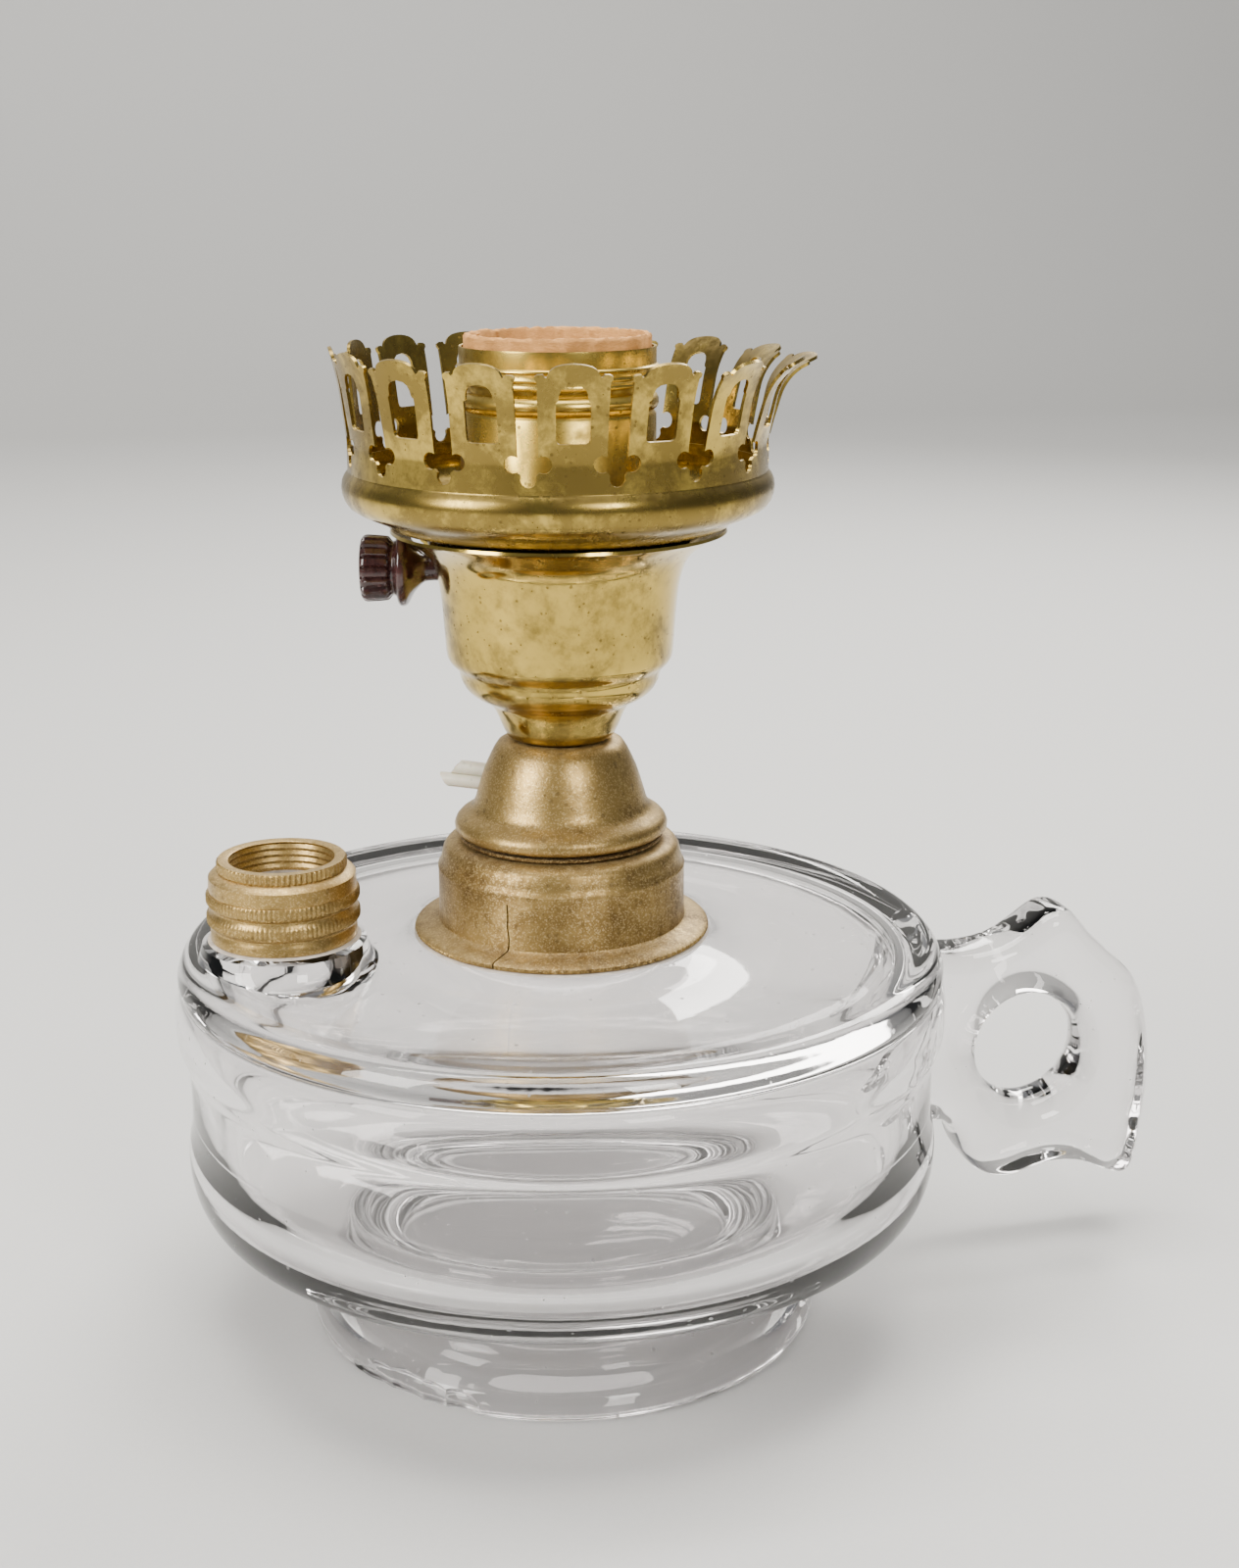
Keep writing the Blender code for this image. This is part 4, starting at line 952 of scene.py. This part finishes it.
class FINGERLAMP_OT_burner_collar(bpy.types.Operator):
    """Make the painted collar with its knurled flange and crack, and the cement that holds it"""
    bl_idname = "finger_lamp.burner_collar"
    bl_label = "Burner Collar"

    def execute(self, context):
        skin = [(15.9, 5.8), (15.9, 16.2), (16.6, 17.0), (18.6, 17.0)]
        skin += arc(18.9, 14.4, 2.6, 80, 22, 5) + [(21.7, 13.8), (22.0, 12.6), (22.35, 12.2), (22.35, 11.7)]
        skin += [(22.3, 11.2), (22.3, 3.2), (22.4, 2.4), (22.9, 2.0), (24.0, 1.8), (26.2, 1.3), (26.8, 0.8)]
        skin += [
            (26.8, 0.3), (26.5, 0.05), (22.2, 0.2), (21.5, 1.8), (21.5, 11.6), (20.2, 14.6), (18.4, 16.2),
        ]
        skin += [(16.6, 16.2), (16.6, 5.8)]
        collar = lathe("burner_collar_painted", skin, COLLAR_Z, 240)
        flute(collar, 120, 0.0003, COLLAR_Z + 0.0002, COLLAR_Z + 0.0015, only=(0.0258, 0.0275))
        self.crack(collar)
        dress(collar, gold_paint("collar_paint", 0.46), "root", "gold_paint", "burner_collar")
        cement = self.cement()
        dress(cement, cement_plaster("collar_plaster_crust"), "root", "cement", "collar_plaster")
        return {"FINISHED"}

    def crack(self, collar):
        """Thin zigzag split from the band's edge down through the flange."""
        path = [(0.15, 10.6), (0.3, 8.8), (0.2, 6.6), (0.5, 4.2), (0.35, 2.2), (-0.5, 1.2), (-0.4, -1.0)]
        width = 0.13
        ring = [(x + width, h, 1) for x, h in path] + [(x - width, h, 1) for x, h in path[::-1]]
        blade = flat_plate("blade", [ring], 5.0, handles="VECTOR")
        turn = radians(-128)
        stand = Matrix.Rotation(turn + pi / 2, 4, "Z") @ Matrix.Rotation(pi / 2, 4, "X")
        spot = (AXIS_X + 0.0245 * cos(turn), 0.0245 * sin(turn), COLLAR_Z)
        carve(collar, settle(blade, Matrix.Translation(spot) @ stand))
        smooth(collar, 40)

    def cement(self):
        """Plaster between the neck and the collar, with a thin uneven crust squeezed out below."""
        line = [
            (21.1, 11.0), (21.1, 1.3), (22.6, 0.0), (25.8, -0.06), (26.7, -0.15), (27.0, -0.38),
            (26.4, -0.3), (23.2, 0.35), (21.4, 1.05), (20.3, 3.2), (19.95, 5.0), (19.95, 11.0),
        ]
        return lathe("collar_cement_crust", line, COLLAR_Z, 120)


class FINGERLAMP_OT_filler(bpy.types.Operator):
    """Make the threaded filler collar with its knurled rings, and its plaster"""
    bl_idname = "finger_lamp.filler"
    bl_label = "Filler Collar"

    def execute(self, context):
        top = 14.5
        line = raised(top, [
            (9.3, -0.2), (9.6, 0), (11.1, 0), (11.4, -0.3), (11.4, -1.7), (11.1, -2.0), (12.1, -2.2),
            (12.9, -3.0), (13.0, -4.8), (12.9, -5.6),
        ])
        beads = (top - 6.7, top - 10.3)
        for bead in beads:
            line += [(13.1, bead + 1.1), (13.5, bead + 0.6), (13.5, bead - 0.6), (13.1, bead - 1.1)]
            line += [(12.7, bead - 1.5), (12.7, bead - 2.0)]
        line += [
            (12.9, top - 12.6), (12.9, 0.3), (12.6, 0.0), (12.3, 0.2), (12.2, top - 3.4), (11.0, top - 2.6),
        ]
        line += [(10.0, top - 2.6), (10.0, top - 5.4), (9.6, top - 5.6)]
        for k in range(4):
            line += [(9.35, top - 4.9 + k * 1.2), (9.7, top - 4.3 + k * 1.2)]
        collar = lathe("filler_collar_painted", line, FILLER_LOW.z, 288, True, FILLER_X)
        z = FILLER_LOW.z
        for bead in beads:
            low, high = z + (bead - 0.9) * MM, z + (bead + 0.9) * MM
            flute(collar, 96, 0.0003, low, high, FILLER_X, (0.0134, 0.0137))
        flute(collar, 72, 0.0004, z + (top - 1.8) * MM, z + (top - 0.25) * MM, FILLER_X, (0.0113, 0.0116))
        dress(collar, gold_paint("filler_paint", 0.34, 90.0), "root", "gold_paint", "filler_collar")
        inside = [
            (11.9, 8.4), (11.9, 0.4), (12.9, 0.0), (13.5, -0.2), (13.3, -0.28), (11.2, -0.1), (10.95, 0.6),
            (10.95, 8.0), (9.9, 8.3), (9.3, 8.5), (9.2, 9.0), (9.9, 8.8), (10.8, 9.0),
        ]
        plaster = lathe("filler_cement_crust", inside, FILLER_LOW.z, 96, True, FILLER_X)
        dress(plaster, cement_plaster("filler_plaster_crust"), "root", "cement", "filler_plaster")
        return {"FINISHED"}


class FINGERLAMP_OT_dome(bpy.types.Operator):
    """Make the painted adapter dome with its rolled rim and the hole for the cord"""
    bl_idname = "finger_lamp.dome"
    bl_label = "Adapter Dome"

    def execute(self, context):
        outer = [
            (5.3, 17.4), (8.6, 17.4), (10.2, 17.2), (11.2, 16.6), (12.0, 15.4), (12.7, 14.0), (13.6, 12.0),
            (14.3, 9.9), (15.0, 7.6), (15.4, 6.2), (15.8, 5.3), (16.5, 4.5), (17.4, 3.9), (18.3, 3.3),
            (18.9, 2.6), (19.2, 1.8), (19.1, 1.0), (18.6, 0.5), (18.0, 0.45),
        ]
        dome = lathe("adapter_dome_painted", sheet(outer, 0.6), DOME_Z, 128)
        drill = rod("bit", 40, 0.0037, 0.012)
        carve(dome, along(drill, cord_point(16.0, 0, 8.6), (cos(CORD_AZ), sin(CORD_AZ), 0)))
        smooth(dome, 40)
        dress(dome, gold_paint("dome_paint", 0.36, 60.0), "burner", "gold_paint", "adapter_dome")
        return {"FINISHED"}


class FINGERLAMP_OT_thread_ring(bpy.types.Operator):
    """Make the threaded skirt that screws into the burner collar"""
    bl_idname = "finger_lamp.thread_ring"
    bl_label = "Threaded Skirt"

    def execute(self, context):
        low, high = (Vector(corner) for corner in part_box("adapter_thread_ring"))
        height = (high.z - low.z) / MM
        lip = (high.x - low.x) / 2 / MM
        root = 14.8
        line = [
            (lip - 0.15, height), (lip, height - 0.15), (lip, height - 0.45), (lip - 0.15, height - 0.6),
            (root + 0.1, height - 0.6),
        ]
        turn = height - 1.6
        while turn > 0.9:
            line += [(root, turn), (root + 0.55, turn - 0.35), (root + 0.55, turn - 0.55), (root, turn - 0.9)]
            turn -= 1.3
        line += [(root - 0.1, 0.2), (root - 0.3, 0), (root - 0.6, 0), (root - 0.6, height)]
        ring = lathe("threaded_skirt", line, low.z, 96)
        # The dark patches cover most of the skirt: painted shade for the gap under the dome's rim.
        dress(ring, gold_paint("skirt_paint_shade", 0.7), "adapter", "gold_paint", "adapter_thread_ring")
        return {"FINISHED"}


class FINGERLAMP_OT_husk(bpy.types.Operator):
    """Make the polished brass husk with its slot for the knob"""
    bl_idname = "finger_lamp.husk"
    bl_label = "Husk"

    def execute(self, context):
        h = 37.6
        outer = raised(h, [
            (29.35, -0.62), (28.9, -0.75), (27.6, -1.3), (26.1, -2.2), (24.4, -3.4), (23.1, -4.6),
            (22.2, -6.0), (21.6, -7.6), (21.1, -9.6), (20.7, -12.4), (20.4, -16.4), (20.2, -19.5),
            (20.0, -22.4), (19.6, -23.4), (18.9, -24.2), (18.1, -24.9), (17.7, -25.9), (17.5, -27.0),
            (16.6, -28.6), (15.2, -29.8), (13.6, -30.6), (12.3, -31.4), (11.7, -32.4), (11.1, -33.6),
            (10.6, -35.0), (10.0, -36.3), (9.5, -37.2),
        ]) + [(9.1, 0.1), (8.6, 0.0), (5.3, 0.0)]
        husk = lathe("burner_husk_brass", sheet(rounded(outer, rounds=1), 0.55), HUSK_Z, 128)
        slot = finish_with(cube("slot", (0.014, 0.0058, 0.030)), "BEVEL", width=0.0012, segments=3)
        carve(husk, settle(slot, knobwards(KNOB_AT + KNOB_OUT * 0.024 + Vector((0, 0, 0.0121)))))
        carve(husk, along(rod("room", 48, 0.0073, 0.016), KNOB_AT + KNOB_OUT * 0.0325, KNOB_OUT))
        smooth(husk, 40)
        brass = polished_brass("husk_brass_polish", 0.45, 0.10)
        dress(husk, brass, "burner", "polished_brass", "burner_husk")
        return {"FINISHED"}


class FINGERLAMP_OT_gallery(bpy.types.Operator):
    """Make the chimney gallery: its turned bead and floor, and the pierced crown of prongs"""
    bl_idname = "finger_lamp.gallery"
    bl_label = "Chimney Gallery"

    crest_r = 36.25
    crest_z = 9.6

    def execute(self, context):
        turned = [
            (36.1, 10.9), (36.2, 10.0), (36.45, 9.6), (36.9, 9.0), (37.25, 8.2), (37.4, 7.2), (37.3, 6.1),
            (36.9, 4.9), (36.2, 3.9), (35.0, 3.1), (33.4, 2.4), (31.6, 1.7), (30.3, 1.0), (29.6, 0.35),
            (28.9, 0.05), (26.0, 0.0), (23.4, 0.0), (22.95, -0.4), (22.9, -2.9),
        ]
        bead = lathe("gallery_bead", sheet(turned, 0.6), GALLERY_Z, 128)
        rng = random.Random(7)
        count = settings("metal").prongs
        prongs = []
        blank = self.blank(count)
        for i in range(count):
            prong = blank.copy()
            prong.data = blank.data.copy()
            context.scene.collection.objects.link(prong)
            azimuth = radians(-110 + 360 / count * (i + 0.5))
            side = cos(azimuth + 0.1)
            lean = rng.uniform(-0.3, 0.4) + 0.9 * side
            curl = rng.uniform(0.0, 1.0) + 2.6 * max(0.0, side) ** 2
            twist = rng.uniform(-0.5, 0.5)
            self.wrap(prong, azimuth, lean, curl, twist)
            prongs.append(prong)
        bpy.data.objects.remove(blank, do_unlink=True)
        crown = joined("gallery_crown", *prongs)
        self.face_out(mend(crown, 0.00003))
        finish_with(crown, "SOLIDIFY", thickness=0.00055, offset=-1.0)
        gallery = joined("chimney_gallery_brass", bead, crown)
        smooth(gallery, 45)
        brass = polished_brass("gallery_brass_polish", 0.54, 0.12, 0.3, 80.0)
        dress(gallery, brass, "gallery", "polished_brass", "chimney_gallery")
        return {"FINISHED"}

    def blank(self, count):
        """One prong cut from flat sheet: x along the band, y up from the crest, in millimetres."""
        half = pi * self.crest_r / count
        side = 5.4
        bottom = [(half - 1.35 * sin(radians(d)), 2.85 - 1.4 * cos(radians(d))) for d in (0, 25, 50, 80, 112)]
        turns = (62, 85, 110, 135, 160, 185, 210, 235, 260, 285, 305)
        lobe = [(4.65 + 1.4 * cos(radians(d)), 5.1 - 1.4 * sin(radians(d))) for d in turns]
        shoulder = [
            (side, 18.2), (side + 0.3, 18.6), (side + 0.3, 19.1), (side - 0.1, 19.4), (4.5, 19.45),
            (4.25, 19.0), (3.95, 18.95), (3.75, 19.4),
        ]
        arch = [(3.6, 19.8), (3.2, 20.3), (2.6, 20.7), (1.8, 20.95), (0.9, 21.1), (0, 21.15)]
        right = [(half, -0.8)] + bottom + lobe + [(side, 6.6)] + shoulder + arch
        left = [(-x, y) for x, y in right[:-1]][::-1]
        window = [
            (2.0, 8.3), (2.45, 8.5), (2.65, 9.0), (2.65, 14.9), (2.35, 15.1), (2.2, 15.5), (2.15, 16.2),
            (1.8, 17.0), (1.2, 17.5), (0.0, 17.75),
        ]
        holes = window + [(-x, y) for x, y in window[:-1]][::-1]
        plate = flat_plate("blank", [right + left, holes], 0.0, handles="VECTOR")
        edit(plate)
        cuts = [((0, 0.6 * k * MM, 0), (0, 1, 0)) for k in range(37)]
        cuts += [((1.2 * k * MM, 0, 0), (1, 0, 0)) for k in range(-5, 6)]
        for place, normal in cuts:
            bpy.ops.mesh.select_all(action="SELECT")
            bpy.ops.mesh.bisect(plane_co=place, plane_no=normal)
        leave()
        return plate

    def wrap(self, prong, azimuth, lean, curl, twist):
        """Roll the flat blank round the band, then lean its prong out and curl the tip."""
        flare = settings("metal").flare
        for vert in prong.data.vertices:
            x, y = vert.co.x, vert.co.y
            rise = max(0.0, y / MM - 5.0) / 16.0
            out = flare * (rise ** 1.35) * (1 + 0.45 * lean) + 0.0045 * curl * max(0.0, rise - 0.5) ** 2
            out += twist * rise * x * 0.25
            radius = self.crest_r * MM + 0.0002 * min(1.0, rise * 3) + out
            angle = azimuth + x / (self.crest_r * MM)
            drop = out * out / 0.030
            height = GALLERY_Z + self.crest_z * MM + y - drop
            vert.co = (AXIS_X + radius * cos(angle), radius * sin(angle), height)

    def face_out(self, crown):
        """Turn the open sheet so that its faces look away from the axis."""
        total = sum((Vector((f.center.x - AXIS_X, f.center.y, 0))).dot(f.normal) for f in crown.data.polygons)
        if total < 0:
            edit(crown)
            bpy.ops.mesh.flip_normals()
            leave()


class FINGERLAMP_OT_socket(bpy.types.Operator):
    """Make the socket: brass shell, fibre sleeve, threaded inner shell and spring contact"""
    bl_idname = "finger_lamp.socket"
    bl_label = "Lamp Socket"

    def execute(self, context):
        top = 68.5
        low = 19.1
        outer = raised(top, [
            (16.85, 0), (16.9, -0.3), (16.9, -2.9), (17.25, -3.15), (17.3, -3.4), (16.9, -3.7),
            (16.85, -4.5), (17.05, -4.8), (16.85, -5.1), (16.85, -5.7), (17.05, -6.0), (16.85, -6.3),
            (16.8, -6.8),
        ])
        outer += arc(15.6, top - 9.2, 1.75, 62, -62, 6) + [(16.9, top - 11.4), (16.9, low)]
        shell = lathe("socket_shell_brass", sheet(outer, 0.38), HUSK_Z, 128)
        self.notch(shell, HUSK_Z + (low - 2) * MM)
        brass = polished_brass("socket_brass_dull", 0.42, 0.26, 0.2, 60.0)
        dress(shell, brass, "burner", "polished_brass", "socket_shell")
        line = [(16.05, 70.2), (16.1, 69.9), (16.1, 25.2), (14.95, 25.2), (14.9, 70.0), (15.2, 70.5)]
        line += [(15.8, 70.5)]
        sleeve = lathe("insulator_sleeve", line, HUSK_Z, 120)
        self.tear(sleeve)
        self.notch(sleeve, HUSK_Z + 23 * MM)
        fibre = pressed_fibre("insulator_fibre_torn", settings("trim").fibre)
        dress(sleeve, fibre, "burner", "fibre", "shell_insulator")
        self.threads(HUSK_Z + 40.4 * MM)
        self.contact(HUSK_Z + 40.45 * MM)
        return {"FINISHED"}

    def notch(self, obj, low):
        """Opening for the switch shaft, from the lower edge up."""
        high = KNOB_AT.z + 0.0021
        block = finish_with(cube("block", (0.010, 0.0042, high - low)), "BEVEL", width=0.0008, segments=2)
        carve(obj, settle(block, knobwards(Vector((AXIS_X, 0, (low + high) / 2)) + KNOB_OUT * 0.0165)))
        smooth(obj, 40)

    def tear(self, sleeve):
        """Rough the fibre's upper edge."""
        edit(sleeve)
        choose(sleeve, lambda co: co.z > HUSK_Z + 0.0699)
        bpy.ops.transform.vertex_random(offset=0.00022, uniform=0.6, normal=0.0, seed=5)
        leave()

    def threads(self, base):
        """Inner screw shell: rings are turned first, then each is drawn out into the rolled helix."""
        pitch, height, wave, count = 3.6, 26.0, 0.35, 56
        outer = []
        for i in range(count + 1):
            h = height * (1 - i / count)
            ease = min(1.0, (height - h) / 1.6, h / 1.6)
            outer.append((13.45 + wave * ease * sin(2 * pi * h / pitch), h))
        shell = lathe("screw_shell_threaded", sheet(outer + [(6.0, 0.0)], 0.4), base, 72, angle=60)
        for vert in shell.data.vertices:
            dx, dy = vert.co.x - AXIS_X, vert.co.y
            h = (vert.co.z - base) / MM
            if 1.6 < h < 24.4:
                phase = 2 * pi * h / pitch
                shift = wave * sin(phase - atan2(dy, dx)) - wave * sin(phase)
                share = 1 + shift * MM / hypot(dx, dy)
                vert.co.x = AXIS_X + dx * share
                vert.co.y = dy * share
        metal = plated_metal("screw_shell_metal", (0.70, 0.47, 0.26), 0.28)
        dress(shell, metal, "burner", "copper", "screw_shell")

    def contact(self, z):
        """Centre contact: a bent spring tongue on a rivet."""
        line = [(0, 1.5), (1.2, 1.4), (1.9, 0.9), (2.1, 0.5), (2.1, 0), (0, 0)]
        rivet = lathe("contact_rivet", line, z, 40, False)
        tongue = cube("tongue", (0.0009, 0.0034, 0.0004))
        settle(tongue, Matrix.Translation((AXIS_X - 0.0031, 0, z + 0.0006)))
        edit(tongue)
        bends = ((0.0012, 0.0009), (0.0014, 0.0008), (0.0014, 0.0004), (0.0013, -0.0003))
        grow_tip(tongue, lambda co: co.x, [(step, 0, rise) for step, rise in bends])
        leave()
        finish_with(tongue, "BEVEL", width=0.00012, segments=2)
        contact = smooth(joined("center_contact_spring", rivet, tongue), 40)
        dress(contact, polished_brass("contact_brass_plain", 0.3, 0.25, 0.1), "burner", "polished_brass",
              "center_contact")


class FINGERLAMP_OT_knob(bpy.types.Operator):
    """Make the ribbed turn knob on its stem"""
    bl_idname = "finger_lamp.knob"
    bl_label = "Turn Knob"

    def execute(self, context):
        tip = 34.6
        line = raised(tip, [
            (0, -1.1), (2.2, -1.0), (3.6, -0.5), (4.4, -0.1), (4.9, 0), (5.5, -0.25), (5.85, -0.8),
            (5.85, -1.6), (5.75, -3.2), (5.65, -4.4), (5.5, -4.9), (4.9, -5.3), (4.7, -5.8), (5.4, -6.3),
            (6.3, -6.5), (6.7, -6.9), (6.65, -7.7), (6.2, -8.2), (5.0, -8.8), (4.0, -9.4), (3.0, -10.3),
            (2.4, -11.0), (2.2, -12.0), (2.2, -15.4), (1.8, -15.6), (1.8, -6.6), (0, -6.6),
        ])
        ribs = settings("trim").knob_ribs
        knob = lathe("turn_knob_ribbed", rounded(line, rounds=1), 0.0, ribs * 8, False, 0.0, 50)
        low, high = (tip - 5.2) * MM, (tip - 0.2) * MM
        for share, depth in ((0.5, 0.00062), (0.375, 0.00032)):

            def groove(co):
                turn = atan2(co.y, co.x) / (2 * pi) * ribs
                on_band = hypot(co.x, co.y) > 0.0043 and low < co.z < high
                return on_band and abs(abs(turn - round(turn)) - share) < 0.05

            squeeze(knob, groove, depth, 0.0057, 0)
        along(knob, KNOB_AT, KNOB_AXIS)
        smooth(knob, 50)
        dress(knob, dark_bakelite("knob_bakelite_brown"), "knob", "bakelite", "turn_knob")
        return {"FINISHED"}


class FINGERLAMP_OT_hardware(bpy.types.Operator):
    """Give the inner hardware its finishes"""
    bl_idname = "finger_lamp.hardware"
    bl_label = "Inner Hardware"

    def execute(self, context):
        for mat, nodes in (
            (plated_metal("zinc_plate", (0.56, 0.56, 0.54), 0.34),
             ("lamp_nipple", "nipple_locknut", "cap_set_screw", "terminal_screw_neutral", "switch_shaft")),
            (polished_brass("plain_brass", 0.4, 0.28, 0.1), ("socket_cap", "terminal_screw_hot")),
            (plated_metal("bare_copper", COPPER, 0.3), ("wire_hot", "wire_neutral")),
            (pressed_fibre("liner_fibre_grey", (0.34, 0.22, 0.14)), ("cap_liner", "switch_rotor")),
            (dark_bakelite("body_bakelite_black"), ("socket_body",)),
        ):
            for node in nodes:
                recolour(node, mat)
        return {"FINISHED"}


class FINGERLAMP_OT_stage(bpy.types.Operator):
    """Lay the plain floor and hang the soft lights"""
    bl_idname = "finger_lamp.stage"
    bl_label = "Stage"

    def execute(self, context):
        deselect()
        bpy.ops.mesh.primitive_plane_add(size=1, location=(0, 0, 0))
        floor = named("floor")
        floor.scale = (6, 3, 1)
        settle(floor)
        edit(floor)
        radius = 0.5
        moves = []
        for step in range(9):
            a, b = radians(step * 10), radians(step * 10 + 10)
            moves.append((0, radius * (sin(b) - sin(a)), radius * (cos(a) - cos(b))))
        grow_tip(floor, lambda co: co.y + co.z, moves)
        bpy.ops.mesh.extrude_region_move(TRANSFORM_OT_translate={"value": (0, 0, 3.0)})
        leave()
        smooth(floor, 40)
        floor.data.materials.append(plain_floor("plain_floor"))
        for name, place, target, size, power in (
            ("top_softbox", (0.0, -0.05, 1.0), (0, 0, 0), (0.75, 0.5), 13.0),
            ("left_window", (-1.0, -0.45, 0.65), (0, 0, 0.08), (0.45, 0.6), 15.0),
            ("front_panel", (0.25, -1.1, 0.75), (0, 0, 0.08), (0.28, 0.4), 7.0),
            ("rear_strip", (0.55, 0.8, 0.7), (0, 0, 0.1), (0.7, 0.25), 9.0),
            ("wall_wash", (0.0, 0.3, 1.6), (0, 1.8, 0.6), (1.6, 0.4), 30.0),
        ):
            self.light(name, place, target, size, power)
        world = bpy.data.worlds.new("even_light")
        world.use_nodes = True
        shader = world.node_tree.nodes["Background"]
        shader.inputs["Color"].default_value = (0.86, 0.88, 0.92, 1)
        shader.inputs["Strength"].default_value = settings("stage").sky
        context.scene.world = world
        return {"FINISHED"}

    def light(self, name, place, target, size, power):
        data = bpy.data.lights.new(name, "AREA")
        data.shape = "RECTANGLE"
        data.size, data.size_y = size
        data.energy = power
        data.color = (1.0, 0.97, 0.92)
        lamp = bpy.data.objects.new(name, data)
        bpy.context.scene.collection.objects.link(lamp)
        lamp.location = place
        lamp.rotation_euler = (Vector(place) - Vector(target)).to_track_quat("Z", "Y").to_euler()


class FINGERLAMP_PT_panel(bpy.types.Panel):
    """Buttons for each piece, in the order they are made"""
    bl_idname = "FINGERLAMP_PT_panel"
    bl_label = "Finger Lamp"
    bl_space_type = "VIEW_3D"
    bl_region_type = "UI"
    bl_category = "Finger Lamp"

    def draw(self, context):
        for name in SETTINGS:
            values = getattr(context.scene, name)
            for prop in values.bl_rna.properties:
                if prop.identifier not in {"rna_type", "name"}:
                    self.layout.prop(values, prop.identifier)
        for operator in OPERATORS:
            self.layout.operator(operator.bl_idname)


SETTINGS = {
    "finger_lamp_glass": FingerLampGlassSettings,
    "finger_lamp_metal": FingerLampMetalSettings,
    "finger_lamp_trim": FingerLampTrimSettings,
    "finger_lamp_stage": FingerLampStageSettings,
}
OPERATORS = (
    FINGERLAMP_OT_camera,
    FINGERLAMP_OT_cord,
    FINGERLAMP_OT_stage,
    FINGERLAMP_OT_glass,
    FINGERLAMP_OT_burner_collar,
    FINGERLAMP_OT_filler,
    FINGERLAMP_OT_thread_ring,
    FINGERLAMP_OT_dome,
    FINGERLAMP_OT_husk,
    FINGERLAMP_OT_gallery,
    FINGERLAMP_OT_socket,
    FINGERLAMP_OT_knob,
    FINGERLAMP_OT_hardware,
)


def register():
    for kind in (*SETTINGS.values(), *OPERATORS, FINGERLAMP_PT_panel):
        bpy.utils.register_class(kind)
    for name, kind in SETTINGS.items():
        setattr(bpy.types.Scene, name, PointerProperty(type=kind))


def unregister():
    for name in SETTINGS:
        delattr(bpy.types.Scene, name)
    for kind in (FINGERLAMP_PT_panel, *reversed(OPERATORS), *SETTINGS.values()):
        bpy.utils.unregister_class(kind)


def main():
    register()
    bpy.ops.finger_lamp.camera()
    bpy.ops.finger_lamp.cord()
    bpy.ops.finger_lamp.stage()
    bpy.ops.finger_lamp.glass()
    bpy.ops.finger_lamp.burner_collar()
    bpy.ops.finger_lamp.filler()
    bpy.ops.finger_lamp.thread_ring()
    bpy.ops.finger_lamp.dome()
    bpy.ops.finger_lamp.husk()
    bpy.ops.finger_lamp.gallery()
    bpy.ops.finger_lamp.socket()
    bpy.ops.finger_lamp.knob()
    bpy.ops.finger_lamp.hardware()


if __name__ == "__main__":
    main()
